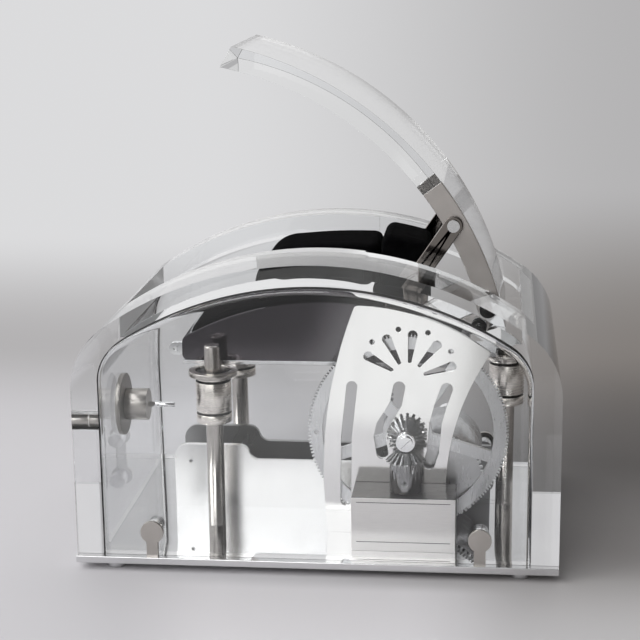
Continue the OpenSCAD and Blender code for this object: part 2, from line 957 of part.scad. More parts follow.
module watch_cushion() {
    bottom = tray_crown - lining_t - 4;
    left = cushion_x[0];
    right = cushion_x[1];
    top = cushion_top;
    color([0.02, 0.02, 0.025])
        plate_at(cushion_y[0], cushion_y[1] - cushion_y[0]) {
            translate([left, bottom]) square([right - left, top[0] - cushion_round - bottom]);
            polygon([[left + cushion_round, bottom], [right, bottom], [right, top[1] - 3],
                [right - 3, top[1]], [left + cushion_round, top[0]]]);
            intersection() {
                translate([left + cushion_round, top[0] - cushion_round]) circle(cushion_round);
                translate([left - 1, bottom]) square([2*cushion_round, 2*cushion_round]);
            }
            translate([right - 3, top[1] - 3]) circle(3);
        }
}

module cushion_rest() {
    bottom = tray_crown - 2*lining_t - 8;
    color([0.02, 0.02, 0.025])
        plate_at(cushion_y[0], cushion_y[1] - cushion_y[0])
            intersection() {
                translate([0, tray_cz]) circle(tray_r + rest_rise, $fn = 240);
                translate([rest_x[0], bottom]) square([rest_x[1] - rest_x[0], 60]);
            }
}

rack_pitch_x = wheel_x - pinion_r;
rack_root_x = rack_pitch_x - 1.15*tooth_m;
rack_back = 3.2;
rack_z = [50, 98];
rack_bracket_h = 8;

// Straight rack whose gap at the pinion's height takes the pinion's tooth.
module lift_rack() {
    pitch = PI*tooth_m;
    up = floor((rack_z[1] - wheel_z)/pitch) - 1;
    down = floor((wheel_z - rack_z[0])/pitch) - 1;
    color("silver") {
        plate_at(rack_y, rack_w) {
            translate([rack_root_x - rack_back, rack_z[0]])
                square([rack_back, rack_z[1] - rack_z[0]]);
            for (i = [-down:up])
                translate([rack_pitch_x, wheel_z + (i + 0.5)*pitch])
                    polygon([[-1.16*tooth_m, -0.3*pitch], [0.75*tooth_m, -0.15*pitch],
                        [0.75*tooth_m, 0.15*pitch], [-1.16*tooth_m, 0.3*pitch]]);
        }
        translate([rack_root_x - rack_back, rack_y + rack_w, rack_z[1] - rack_bracket_h])
            cube([rack_back, tray_y - rack_y - rack_w, rack_bracket_h]);
    }
}

module catch_lug() {
    color("whitesmoke")
        difference() {
            plate_at(tray_y, 2)
                slot([-tray_half - 3.6, tray_z + 5.8], [-tray_half + 1, tray_z + 5.8], 6.6);
            translate([-tray_half, tray_y - 1, tray_z - 1]) cube([20, 4, 12]);
            rod_at(-tray_half - 3.6, tray_y - 1, tray_z + 5.8, 1.6, 4);
        }
}

module great_wheel() {
    rim_in = wheel_r - tooth_h - wheel_rim;
    teeth = [
        for (i = [0:wheel_teeth - 1], c = [[-0.26, tooth_h], [-0.12, 0], [0.12, 0], [0.26, tooth_h]])
            let (a = 360*(i + c[0])/wheel_teeth, r = wheel_r - c[1])
                [r*cos(a), r*sin(a)]
    ];
    color("gainsboro")
        translate([wheel_x, 0, wheel_z])
            plate_at(wheel_y, wheel_t)
                difference() {
                    polygon(teeth);
                    difference() {
                        circle(rim_in);
                        circle(hub_r);
                        for (i = [0:spokes - 1])
                            rotate(-16 + 360*i/spokes)
                                translate([0, -spoke_w/2]) square([wheel_r - 3, spoke_w]);
                    }
                    circle(d = arbor_d);
                    rotate(181)
                        translate([rim_in + wheel_rim/2, 0]) circle(d = 2.4);
                }
}

module wheel_arbor() {
    front = apex_y + mitre_in - nose_l;
    color("silver")
        rod_at(wheel_x, front + 1, wheel_z, arbor_d, rack_y + rack_w - front - 1);
}

module pinion(y, turn) {
    difference() {
        translate([wheel_x, 0, wheel_z])
            plate_at(y, pinion_w)
                rotate(turn) spur(tooth_m, pinion_teeth);
        rod_at(wheel_x, y - 1, wheel_z, arbor_d, pinion_w + 2);
    }
}

module train_pinion() {
    color("lightgray")
        pinion(pinion_y, barrel_lean - 90);
}

module rack_pinion() {
    color("lightgray")
        pinion(rack_y + 0.1, 0);
}

// Mitre gear along +Z with its apex at the origin and its large end at mitre_r.
module mitre_gear(turn) {
    tip = (mitre_r + tip_add)/mitre_r;
    root = (mitre_r - root_ded)/mitre_r;
    root_turn = atan(root);
    gap = 0.36*2*PI*mitre_r/mitre_teeth/norm([mitre_r, root*mitre_r]);
    difference() {
        translate([0, 0, mitre_in])
            cylinder(r1 = tip*mitre_in, r2 = tip*mitre_r, h = mitre_r - mitre_in);
        for (i = [0:mitre_teeth - 1], flank = [-14, 14])
            rotate(turn + 360*i/mitre_teeth)
                rotate([0, root_turn - 90, 0])
                    rotate([flank, 0, 0])
                        translate([0, 0, -6])
                            linear_extrude(6 + eps) polygon([[0, 0], [16, 8*gap], [16, -8*gap]]);
    }
}

module front_mitre_gear() {
    color("lightgray")
        difference() {
            translate([wheel_x, apex_y, wheel_z])
                rotate([-90, 0, 0]) {
                    mitre_gear(0);
                    translate([0, 0, mitre_r]) cylinder(r = mitre_r - root_ded, h = 2);
                }
            rod_at(wheel_x, apex_y, wheel_z, arbor_d, 20);
        }
}

module mitre_washer() {
    color("silver")
        difference() {
            rod_at(wheel_x, apex_y + mitre_in - nose_l + 1, wheel_z, 2*nose_r, nose_l - 1);
            rod_at(wheel_x, apex_y + mitre_in - nose_l, wheel_z, arbor_d, nose_l + 1);
        }
}

module mitre_screw() {
    y = apex_y + mitre_in - nose_l;
    color("silver")
        difference() {
            rod_at(wheel_x, y - 0.6, wheel_z, 6.8, 1.6);
            translate([wheel_x, y - 0.2, wheel_z])
                rotate([0, -45, 0])
                    cube([12, 1, 0.8], center = true);
        }
}

module lower_mitre_gear() {
    bottom = wheel_z - mitre_r;
    color("lightgray")
        difference() {
            translate([wheel_x, apex_y, wheel_z])
                rotate([180, 0, 0]) {
                    mitre_gear(180/mitre_teeth);
                    translate([0, 0, mitre_r]) cylinder(r = mitre_r - root_ded, h = 3);
                    translate([0, 0, mitre_r + 3]) cylinder(d = mitre_hub_d, h = mitre_hub_h);
                }
            translate([wheel_x, apex_y, 0]) cylinder(d = gov_shaft_d, h = wheel_z);
            rod_at(wheel_x, apex_y - mitre_hub_d/2 - 1, bottom - 3 - mitre_hub_h/2, 3.4, mitre_hub_d/2);
        }
}

module mitre_set_screw() {
    color("dimgray")
        difference() {
            rod_at(wheel_x, apex_y - mitre_hub_d/2 + 0.6, wheel_z - mitre_r - 3 - mitre_hub_h/2, 3.4,
                mitre_hub_d/2 - gov_shaft_d/2 - 0.6);
            rod_at(wheel_x, apex_y - mitre_hub_d/2, wheel_z - mitre_r - 3 - mitre_hub_h/2, 1.6, 2.6);
        }
}

module governor_shaft() {
    color("silver")
        translate([wheel_x, apex_y, floor_z + 2]) {
            cylinder(d = gov_shaft_d, h = wheel_z - mitre_in - floor_z - 2.4);
            linear_extrude(2.5) spur(gov_m, gov_teeth);
        }
}

module fly_arbor() {
    color("silver")
        translate([fly_x, apex_y, floor_z + 1.6]) {
            cylinder(d = 1.6, h = 19);
            linear_extrude(3.2)
                rotate(180 + 180/fly_teeth) spur(gov_m, fly_teeth);
        }
}

module fly_blades() {
    color("goldenrod")
        difference() {
            translate([fly_x - 5, apex_y - 0.4, floor_z + 8]) cube([10, 0.8, 10]);
            translate([fly_x, apex_y, floor_z + 7]) cylinder(d = 1.6, h = 12);
        }
}

module barrel_gear() {
    color("silver")
        difference() {
            union() {
                translate([barrel_x, 0, barrel_z])
                    plate_at(pinion_y, pinion_w)
                        rotate(90 + barrel_lean + 180/barrel_teeth) spur(tooth_m, barrel_teeth);
                rod_at(barrel_x, pinion_y + pinion_w, barrel_z, barrel_neck_d, drum_y - pinion_y - pinion_w);
                rod_at(barrel_x, drum_y, barrel_z, 2*(drum_r - drum_wall), drum_wall);
            }
            rod_at(barrel_x, pinion_y - 1, barrel_z, barrel_arbor_d + 2*run_fit, 20);
        }
}

module barrel_drum() {
    color("dimgray")
        difference() {
            rod_at(barrel_x, drum_y, barrel_z, 2*drum_r, drum_end - drum_y);
            rod_at(barrel_x, drum_y - 1, barrel_z, 2*(drum_r - drum_wall), drum_end - drum_y + 1 - drum_wall);
            rod_at(barrel_x, drum_end - 5, barrel_z, barrel_arbor_d + 2*run_fit, 10);
        }
}

module winding_arbor() {
    tail = -front_y - panel_t/2;
    square_l = 14;
    color("silver") {
        rod_at(barrel_x, pinion_y + 0.2, barrel_z, barrel_arbor_d, tail - square_l - pinion_y - 0.2);
        translate([barrel_x - 2.1, tail - square_l, barrel_z - 2.1]) cube([4.2, square_l, 4.2]);
    }
}

module ratchet_wheel() {
    teeth = [
        for (i = [0:ratchet_teeth - 1], c = [[0, 0], [0.06, 1.4]])
            let (a = -360*(i + c[0])/ratchet_teeth, r = ratchet_r - c[1])
                [r*cos(a), r*sin(a)]
    ];
    color("silver")
        translate([barrel_x, 0, barrel_z])
            plate_at(ratchet_y, ratchet_t)
                difference() {
                    polygon(teeth);
                    circle(d = barrel_arbor_d);
                }
}

// Spiral strip that starts on the arbor and ends short of the drum.
module mainspring() {
    turns = 7;
    steps = 24*turns;
    inner = barrel_arbor_d/2;
    pitch = (drum_r - drum_wall - 1.6 - inner)/turns;
    strip = 0.6;
    path = [for (i = [0:steps]) [inner + pitch*turns*i/steps, 360*turns*i/steps]];
    rim = [for (p = path) [(p[0] + strip)*cos(p[1]), -(p[0] + strip)*sin(p[1])]];
    back = [for (i = [steps:-1:0]) [path[i][0]*cos(path[i][1]), -path[i][0]*sin(path[i][1])]];
    color("slategray")
        translate([barrel_x, 0, barrel_z])
            plate_at(drum_y + 3, drum_end - drum_y - 6)
                polygon(concat(rim, back));
}

base_plate();
base_feet();
crystal_body();
front_panel();
rear_panel();
panel_clips();
panel_studs();
hinge_pins();
guide_columns();
column_screws();
front_bridge();
arbor_cock();
front_bearing_plate();
rear_bearing_plate();
plate_pillars();
plate_screws();
governor_block();
nameplate();
button_sleeve();
button_flange();
click();
click_spring();
lid_crystal();
lid_arm_front();
lid_arm_rear();
link_screws();
lift_link_front();
lift_link_rear();
carriage_plate();
bushing_flanges();
linear_bushings();
tray_shell();
tray_lining();
watch_cushion();
cushion_rest();
tray_link_pins();
lift_rack();
catch_lug();
great_wheel();
wheel_arbor();
train_pinion();
rack_pinion();
front_mitre_gear();
mitre_washer();
mitre_screw();
lower_mitre_gear();
mitre_set_screw();
governor_shaft();
fly_arbor();
fly_blades();
barrel_gear();
barrel_drum();
winding_arbor();
ratchet_wheel();
mainspring();
push_button();
button_hub();
release_rod();
button_spring();
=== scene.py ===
import math

import bmesh
import bpy
from bpy.props import FloatProperty, FloatVectorProperty, PointerProperty
from mathutils import Matrix, Vector


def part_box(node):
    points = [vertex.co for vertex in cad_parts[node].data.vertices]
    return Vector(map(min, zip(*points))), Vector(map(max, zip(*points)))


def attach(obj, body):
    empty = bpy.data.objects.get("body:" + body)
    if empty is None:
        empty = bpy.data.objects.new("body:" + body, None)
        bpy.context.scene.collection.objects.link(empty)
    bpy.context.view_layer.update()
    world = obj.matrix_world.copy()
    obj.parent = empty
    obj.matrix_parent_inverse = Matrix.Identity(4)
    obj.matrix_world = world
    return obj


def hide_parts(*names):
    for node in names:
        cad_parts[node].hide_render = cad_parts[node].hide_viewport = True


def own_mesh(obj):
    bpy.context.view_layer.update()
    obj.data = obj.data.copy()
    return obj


bl_info = {
    "name": "Clockwork watch box",
    "version": (1, 0, 0),
    "blender": (4, 5, 0),
    "location": "3D View > Sidebar > Watch Box",
    "description": "Finishes for a clear display box with a clockwork tray lift",
    "category": "Object",
}

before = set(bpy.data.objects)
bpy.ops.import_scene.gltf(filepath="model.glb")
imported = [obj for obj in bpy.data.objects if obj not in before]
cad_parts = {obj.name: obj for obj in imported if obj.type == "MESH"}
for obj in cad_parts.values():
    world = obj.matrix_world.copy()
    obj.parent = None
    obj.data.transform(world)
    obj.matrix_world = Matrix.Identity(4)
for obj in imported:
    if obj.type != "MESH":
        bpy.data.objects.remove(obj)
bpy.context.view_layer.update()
MM = 0.001


# ---------------------------------------------------------------- settings


class WATCHBOX_PG_crystal(bpy.types.PropertyGroup):
    tint: FloatVectorProperty(name="Tint", description="Colour of the clear crystal", subtype="COLOR", size=3,
                              min=0, max=1, default=(0.985, 0.995, 1.0))
    ior: FloatProperty(name="Refraction", description="Refractive index of the crystal", min=1.3, max=2,
                       default=1.49)
    edge: FloatProperty(name="Edge chamfer", description="Width of the polished chamfer on each edge",
                        subtype="DISTANCE", min=0, max=0.003, default=0.00045)


class WATCHBOX_PG_metal(bpy.types.PropertyGroup):
    steel: FloatVectorProperty(name="Steel", description="Colour of the satin steel pieces", subtype="COLOR",
                               size=3, min=0, max=1, default=(0.62, 0.62, 0.63))
    mirror: FloatVectorProperty(name="Mirror steel", description="Colour of the mirror-polished plates",
                                subtype="COLOR", size=3, min=0, max=1, default=(0.86, 0.86, 0.87))
    warm: FloatVectorProperty(name="Ground steel", description="Colour of the ground columns and bushings",
                              subtype="COLOR", size=3, min=0, max=1, default=(0.56, 0.53, 0.5))
    arms: FloatVectorProperty(name="Arm steel", description="Colour of the lid's brushed side arms",
                              subtype="COLOR", size=3, min=0, max=1, default=(0.56, 0.53, 0.51))
    tray: FloatVectorProperty(name="Tray", description="Colour of the tray's dark polished walls",
                              subtype="COLOR", size=3, min=0, max=1, default=(0.075, 0.068, 0.076))
    edge: FloatProperty(name="Edge break", description="Width of the bevel on machined edges",
                        subtype="DISTANCE", min=0, max=0.001, default=0.00025)


class WATCHBOX_PG_soft(bpy.types.PropertyGroup):
    suede: FloatVectorProperty(name="Suede", description="Colour of the lining and cushion", subtype="COLOR",
                               size=3, min=0, max=1, default=(0.0022, 0.0022, 0.0024))


class WATCHBOX_PG_stage(bpy.types.PropertyGroup):
    floor: FloatVectorProperty(name="Floor", description="Colour of the floor", subtype="COLOR", size=3,
                               min=0, max=1, default=(0.6, 0.59, 0.61))
    # The card is a glow on the floor that only reflections and crystal show: a painted reflection.
    card: FloatVectorProperty(name="Card", description="Colour of the white card in front of the box",
                              subtype="COLOR", size=3, min=0, max=1, default=(0.96, 0.955, 0.95))


# ---------------------------------------------------------------- materials


class Finish:
    """One material, with the few kinds of node that every finish here is made of."""

    def __init__(self, name):
        self.mat = bpy.data.materials.new(name)
        self.mat.use_nodes = True
        self.tree = self.mat.node_tree
        self.shader = self.tree.nodes["Principled BSDF"]
        self.coord = self.tree.nodes.new("ShaderNodeTexCoord").outputs["Object"]

    def set(self, **values):
        """Plain values for the shader's sockets, with an underscore for each space in a socket's name."""
        for key, value in values.items():
            socket = self.shader.inputs[key.replace("_", " ")]
            socket.default_value = (*value, 1) if isinstance(value, tuple) and len(value) == 3 else value
        return self

    def noise(self, scale, detail, rough=0.5, stretch=(1, 1, 1), distort=0.0):
        """Noise value; an axis with a small stretch is drawn out into lines."""
        mapping = self.tree.nodes.new("ShaderNodeMapping")
        mapping.inputs["Scale"].default_value = stretch
        self.tree.links.new(self.coord, mapping.inputs["Vector"])
        tex = self.tree.nodes.new("ShaderNodeTexNoise")
        sockets = {"Scale": scale, "Detail": detail, "Roughness": rough, "Distortion": distort}
        for key, value in sockets.items():
            tex.inputs[key].default_value = value
        self.tree.links.new(mapping.outputs[0], tex.inputs["Vector"])
        return tex.outputs["Fac"]

    def span(self, value, low, high):
        """The middle half of a noise value, spread from low to high."""
        node = self.tree.nodes.new("ShaderNodeMapRange")
        for key, number in (("From Min", 0.25), ("From Max", 0.75), ("To Min", low), ("To Max", high)):
            node.inputs[key].default_value = number
        self.tree.links.new(value, node.inputs["Value"])
        return node.outputs["Result"]

    def shade(self, value, low, high):
        """Colour between two close shades, by value."""
        ramp = self.tree.nodes.new("ShaderNodeValToRGB")
        for element, place, color in zip(ramp.color_ramp.elements, (0.3, 0.7), (low, high)):
            element.position = place
            element.color = (*color, 1)
        self.tree.links.new(value, ramp.inputs["Fac"])
        self.tree.links.new(ramp.outputs["Color"], self.shader.inputs["Base Color"])

    def rough(self, value, low, high):
        """Roughness from low to high, by value."""
        self.tree.links.new(self.span(value, low, high), self.shader.inputs["Roughness"])

    def bump(self, value, strength, height):
        """Surface relief by value, with its height in metres."""
        node = self.tree.nodes.new("ShaderNodeBump")
        node.inputs["Strength"].default_value = strength
        node.inputs["Distance"].default_value = height
        self.tree.links.new(value, node.inputs["Height"])
        self.tree.links.new(node.outputs["Normal"], self.shader.inputs["Normal"])


def scaled(color, k):
    """A lighter or darker shade of a colour."""
    return tuple(min(1, c*k) for c in color)


def blend_value(tree, value, low, high):
    """Smooth step of a value, from 0 at low to 1 at high."""
    node = tree.nodes.new("ShaderNodeMapRange")
    node.interpolation_type = "SMOOTHSTEP"
    node.inputs["From Min"].default_value = low
    node.inputs["From Max"].default_value = high
    tree.links.new(value, node.inputs["Value"])
    return node.outputs["Result"]


def blend_color(tree, fac, first, second):
    """First colour where fac is 0 and second where it is 1; a colour is a triple or a socket."""
    node = tree.nodes.new("ShaderNodeMix")
    node.data_type = "RGBA"
    tree.links.new(fac, node.inputs[0])
    for key, value in ((6, first), (7, second)):
        if isinstance(value, tuple):
            node.inputs[key].default_value = (*value, 1)
        else:
            tree.links.new(value, node.inputs[key])
    return node.outputs[2]


def math_node(tree, operation, *values):
    """One sum on sockets or plain numbers."""
    node = tree.nodes.new("ShaderNodeMath")
    node.operation = operation
    for socket, value in zip(node.inputs, values):
        if isinstance(value, (int, float)):
            socket.default_value = value
        else:
            tree.links.new(value, socket)
    return node.outputs[0]


def chained(tree, operation, values):
    """The same sum over a list: the product or the largest of them all."""
    result = values[0]
    for value in values[1:]:
        result = math_node(tree, operation, result, value)
    return result


def near(tree, value, middle, reach):
    """1 where a value is within reach of the middle."""
    off = math_node(tree, "ABSOLUTE", math_node(tree, "SUBTRACT", value, middle))
    return math_node(tree, "LESS_THAN", off, reach)


def split(tree, vector):
    """X, Y and Z of a vector."""
    node = tree.nodes.new("ShaderNodeSeparateXYZ")
    tree.links.new(vector, node.inputs[0])
    return node.outputs


def brushed_steel(name, color, along, rough=(0.24, 0.36)):
    """Steel with fine parallel brush lines that run along one axis."""
    finish = Finish(name).set(Metallic=1.0)
    lines = finish.noise(scale=2600, detail=4, rough=0.6, stretch=tuple(0.04 if a else 1.0 for a in along))
    finish.shade(finish.noise(scale=60, detail=2), scaled(color, 0.94), scaled(color, 1.05))
    finish.rough(lines, *rough)
    finish.bump(lines, strength=0.25, height=0.00002)
    return finish.mat


def groove_shaded_steel(name, color):
    """Ground steel, with black painted shade in the two ring grooves and in the recess at the top."""
    finish = Finish(name).set(Metallic=1.0)
    tree = finish.tree
    rings = finish.noise(scale=3000, detail=2, stretch=(0.02, 0.02, 1.0))
    z = split(tree, finish.coord)[2]
    groove_shades = [near(tree, z, (low + high)/2*MM, (high - low)/2*MM) for low, high in SHADE_BANDS]
    ground = blend_color(tree, finish.span(rings, 0, 1), scaled(color, 0.98), scaled(color, 1.02))
    groove_shaded = blend_color(tree, chained(tree, "MAXIMUM", groove_shades), ground, GROOVE_PAINTED_SHADE)
    tree.links.new(groove_shaded, finish.shader.inputs["Base Color"])
    finish.rough(rings, 0.24, 0.29)
    finish.bump(rings, strength=0.03, height=0.00001)
    return finish.mat


def ruled_plate(name, color):
    """Satin plate, brushed across, with one dark engraved rule near the top edge and one near the foot."""
    finish = Finish(name).set(Metallic=1.0)
    tree = finish.tree
    lines = finish.noise(scale=2400, detail=3, rough=0.6, stretch=(0.05, 1, 1))
    x, _, z = split(tree, finish.coord)
    across = near(tree, x, RULE_X*MM, RULE_HALF*MM)
    levels = [near(tree, z, height*MM, RULE_WIDTH/2*MM) for height in RULE_Z]
    rules = [math_node(tree, "MULTIPLY", level, across) for level in levels]
    ground = blend_color(tree, finish.span(lines, 0, 1), scaled(color, 0.96), scaled(color, 1.04))
    ruled = blend_color(tree, chained(tree, "MAXIMUM", rules), ground, RULE_GREY)
    tree.links.new(ruled, finish.shader.inputs["Base Color"])
    finish.rough(lines, 0.34, 0.44)
    finish.bump(lines, strength=0.15, height=0.00001)
    return finish.mat


def satin_steel(name, color, rough=(0.2, 0.3)):
    """Bead-blasted steel: an even grain with no direction."""
    finish = Finish(name).set(Metallic=1.0)
    grain = finish.noise(scale=3500, detail=3, rough=0.6)
    finish.shade(finish.noise(scale=90, detail=2), scaled(color, 0.93), scaled(color, 1.05))
    finish.rough(grain, *rough)
    finish.bump(grain, strength=0.12, height=0.00001)
    return finish.mat


def mirror_steel(name, color, rough=(0.02, 0.06)):
    """Hand-polished steel: clear reflections with faint wipe marks."""
    finish = Finish(name).set(Metallic=1.0)
    wipe = finish.noise(scale=45, detail=4, rough=0.55, stretch=(1, 1, 0.35), distort=0.6)
    finish.shade(wipe, scaled(color, 0.97), scaled(color, 1.02))
    finish.rough(wipe, *rough)
    finish.bump(finish.noise(scale=14, detail=2, rough=0.4), strength=0.02, height=0.0002)
    return finish.mat


def turned_steel(name, color, axis, rough=(0.16, 0.3)):
    """Lathe-turned steel: fine rings round the piece's own axis."""
    finish = Finish(name).set(Metallic=1.0)
    rings = finish.noise(scale=3000, detail=2, stretch=tuple(1.0 if a else 0.02 for a in axis))
    finish.shade(finish.noise(scale=70, detail=2), scaled(color, 0.92), scaled(color, 1.05))
    finish.rough(rings, *rough)
    finish.bump(rings, strength=0.15, height=0.00001)
    return finish.mat


def crystal(name):
    """Clear polished crystal, with a faint wave in its surface."""
    look = bpy.context.scene.watchbox_crystal
    finish = Finish(name)
    finish.set(Base_Color=tuple(look.tint), Transmission_Weight=1.0, IOR=look.ior, Roughness=0.0)
    finish.bump(finish.noise(scale=6, detail=2, rough=0.4), strength=0.03, height=0.0002)
    return finish.mat


def cut_crystal(name):
    """Sawn crystal face that was left cloudy."""
    look = bpy.context.scene.watchbox_crystal
    finish = Finish(name).set(Base_Color=tuple(look.tint), Transmission_Weight=0.2, IOR=look.ior)
    grain = finish.noise(scale=900, detail=4, rough=0.7)
    finish.rough(grain, 0.04, 0.16)
    finish.bump(grain, strength=0.5, height=0.0001)
    return finish.mat


def bond_painted_shade(name):
    """Thin black bond between the front panel and the arch over it; used only above SEAM_TURN, where its black
    is painted shade.
    """
    finish = Finish(name).set(Roughness=0.5, Specular_IOR_Level=0.05)
    streak = finish.noise(scale=220, detail=2, stretch=(0.2, 1, 0.2))
    finish.shade(streak, (0.004, 0.004, 0.004), (0.012, 0.011, 0.011))
    return finish.mat


def painted_reflection_film(name):
    """Painted reflection: a silver mirror on a crystal face, for the air film behind it, which mirrors like
    silver.
    """
    finish = Finish(name).set(Metallic=1.0)
    streak = finish.noise(scale=220, detail=2, stretch=(0.2, 1, 0.2))
    finish.shade(streak, (0.84, 0.84, 0.85), (0.95, 0.95, 0.95))
    finish.rough(streak, 0.03, 0.08)
    return finish.mat


def foot_painted_reflection(name):
    """Bright silver mirror under the side walls, where they stand on the base: painted reflection."""
    finish = Finish(name).set(Metallic=1.0)
    smear = finish.noise(scale=30, detail=3, stretch=(1, 0.3, 1))
    finish.shade(smear, (0.9, 0.9, 0.92), (0.97, 0.97, 0.98))
    finish.rough(smear, 0.04, 0.09)
    return finish.mat


def suede(name):
    """Black suede: a dull nap with fine pile."""
    color = tuple(bpy.context.scene.watchbox_soft.suede)
    finish = Finish(name)
    finish.set(Roughness=0.95, Sheen_Weight=0.004, Sheen_Roughness=0.5, Specular_IOR_Level=0.01)
    finish.shade(finish.noise(scale=260, detail=5, rough=0.65), scaled(color, 0.6), scaled(color, 1.7))
    finish.bump(finish.noise(scale=4200, detail=3, rough=0.7), strength=0.5, height=0.00015)
    return finish.mat


# ---------------------------------------------------------------- shapes


def new_piece(name, verts, faces, mats, smooth=30):
    """Object from points in metres, smooth-shaded up to an angle in degrees, or flat where that is 0."""
    mesh = bpy.data.meshes.new(name)
    mesh.from_pydata(verts, [], faces)
    mesh.validate()
    obj = bpy.data.objects.new(name, mesh)
    bpy.context.collection.objects.link(obj)
    for mat in mats:
        mesh.materials.append(mat)
    tidy_normals(obj)
    if smooth:
        smooth_by_angle(obj, smooth)
    return obj


def tidy_normals(obj):
    """Joins doubled points and turns every face outwards."""
    work = bmesh.new()
    work.from_mesh(obj.data)
    bmesh.ops.remove_doubles(work, verts=work.verts, dist=1e-7)
    bmesh.ops.recalc_face_normals(work, faces=work.faces)
    work.to_mesh(obj.data)
    work.free()


def smooth_by_angle(obj, degrees):
    """Smooth shading, with a sharp edge wherever two faces meet at more than the angle."""
    limit = math.radians(degrees)
    for face in obj.data.polygons:
        face.use_smooth = True
    work = bmesh.new()
    work.from_mesh(obj.data)
    for edge in work.edges:
        edge.smooth = not (len(edge.link_faces) == 2 and edge.calc_face_angle(0) > limit)
    work.to_mesh(obj.data)
    work.free()


def cut_away(obj, cutters):
    """Takes the cutters out of a piece, removes them and shades it again."""
    for cutter in cutters:
        mod = obj.modifiers.new("cut", "BOOLEAN")
        mod.operation = "DIFFERENCE"
        mod.solver = "EXACT"
        mod.object = cutter
    bpy.context.view_layer.update()
    graph = bpy.context.evaluated_depsgraph_get()
    mesh = bpy.data.meshes.new_from_object(obj.evaluated_get(graph))
    obj.modifiers.clear()
    obj.data = mesh
    for cutter in cutters:
        bpy.data.objects.remove(cutter)
    tidy_normals(obj)
    smooth_by_angle(obj, 25)


def chamfer(obj, width, angle=32):
    """Small bevel on every edge that turns by more than the angle."""
    mod = obj.modifiers.new("chamfer", "BEVEL")
    mod.width = width
    mod.segments = 2
    mod.limit_method = "ANGLE"
    mod.angle_limit = math.radians(angle)
    mod.harden_normals = True
    mod.use_clamp_overlap = True


def dress(nodes, mat, edge=None):
    """Gives CAD nodes a finish, clean shading and a broken edge."""
    width = bpy.context.scene.watchbox_metal.edge if edge is None else edge
    for name in nodes:
        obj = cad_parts[name]
        obj.data.materials.clear()
        obj.data.materials.append(mat)
        obj.modifiers.new("weld", "WELD").merge_threshold = 1e-6
        if width:
            chamfer(obj, width, angle=25)


def stand_in(obj, body, node):
    """Lets a piece ride on a body in place of one CAD node, which it hides."""
    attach(obj, body)
    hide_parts(node)


def prism_faces(n):
    """Faces of a solid whose two ends have n points each."""
    sides = [(i, (i + 1) % n, n + (i + 1) % n, n + i) for i in range(n)]
    return [tuple(range(n)), tuple(range(2*n - 1, n - 1, -1)), *sides]


def extruded(name, outline, y0, y1, mats, smooth=30):
    """A flat outline in X and Z, in mm, carried from y0 to y1."""
    verts = [(x*MM, y*MM, z*MM) for y in (y0, y1) for x, z in outline]
    return new_piece(name, verts, prism_faces(len(outline)), mats, smooth)


def box_cutter(low, high):
    """Square cutter between two corners."""
    (x0, y0, z0), (x1, y1, z1) = low, high
    return extruded("cutter", [(x0, z0), (x1, z0), (x1, z1), (x0, z1)], y0, y1, [], 0)


def rod_cutter(axis, start, r, length):
    """Round cutter of one radius, from its start along axis 0, 1 or 2."""
    verts, n = [], 48
    for reach in (0, length):
        for i in range(n):
            a = 2*math.pi*i/n
            offset = [r*math.cos(a), r*math.sin(a)]
            offset.insert(axis, reach)
            verts.append(tuple((c + d)*MM for c, d in zip(start, offset)))
    return new_piece("cutter", verts, prism_faces(n), [], 0)


def rounded_corner(centre, r, start, end, steps=8):
    """Arc in X and Z between two angles in degrees."""
    turns = [math.radians(start + (end - start)*i/steps) for i in range(steps + 1)]
    return [(centre[0] + r*math.cos(a), centre[1] + r*math.sin(a)) for a in turns]


def arch_path(half, r, cz, shoulder, z0):
    """Upright side, shoulder, roof arc, shoulder and side, from the left foot to the right one."""
    lean = math.degrees(math.asin((half - shoulder)/(r - shoulder)))
    spring = cz + (r - shoulder)*math.cos(math.radians(lean))
    left = rounded_corner((shoulder - half, spring), shoulder, 180, 90 + lean, SHOULDER_STEPS)
    roof = rounded_corner((0, cz), r, 90 + lean, 90 - lean, ROOF_STEPS)
    right = rounded_corner((half - shoulder, spring), shoulder, 90 - lean, 0, SHOULDER_STEPS)
    return [(-half, z0), *left[:-1], *roof, *right[1:], (half, z0)]


# ---------------------------------------------------------------- sizes shared by the pieces, in mm

# Case: its arch from the side, then the vault inside it
HALF_W = 115.0  # half of the outer width
ROOF_R, ROOF_CZ = 172.5, -23.0  # radius of the roof arc, and the height of its centre
SHOULDER = 37.5  # radius where a side turns into the roof
HALF_IN = 102.0  # half of the inner width
VAULT_R, VAULT_CZ = 169.0, -30.5
HAUNCH = 23.0  # radius where an inner side turns into the vault
SHOULDER_STEPS, ROOF_STEPS = 48, 160
FLOOR_Z = 7.08  # foot of the crystal, just clear of the base plate

# Panels in the case's ends
FRONT_Y = -78.25  # outer face of the front panel; the rear one mirrors it
PANEL_T = 8.0
PANEL_GAP = 0.15  # clearance all round a panel
PANEL_ROLL, PANEL_ROLL_DEPTH = 3.2, 1.6  # how far in and how deep the outer edge is rolled over
PANEL_ROLL_STEPS = 8
STUD_X, STUD_Z, STUD_HOLE_R = 78, 19, 4.08
ARBOR_X, ARBOR_Z, ARBOR_HOLE_R = 57.905, 34.524, 6  # hole for the winding arbor
RIM_INSET, RIM_Z = 1.5, 70  # a face turned sideways is on the rim this near a side, or over this height
SEAM_TURN = 88.0  # height where the bond round the front panel turns from a silver painted reflection to black painted shade
UPRIGHT_TOP = 60  # height that the case's inner sides are upright to, at the least

# Roof window, with a wider part on the right for the lid's arms
WINDOW_HALF = 96.5
WINDOW_Y, WINDOW_W = -35.0, 94.0  # front edge, and width along Y
WINDOW_Z = (80, 200)  # height range that clears the roof
RELIEF_X, RELIEF = 21.7, 3.0  # where the wider part starts, and by how much it widens each side

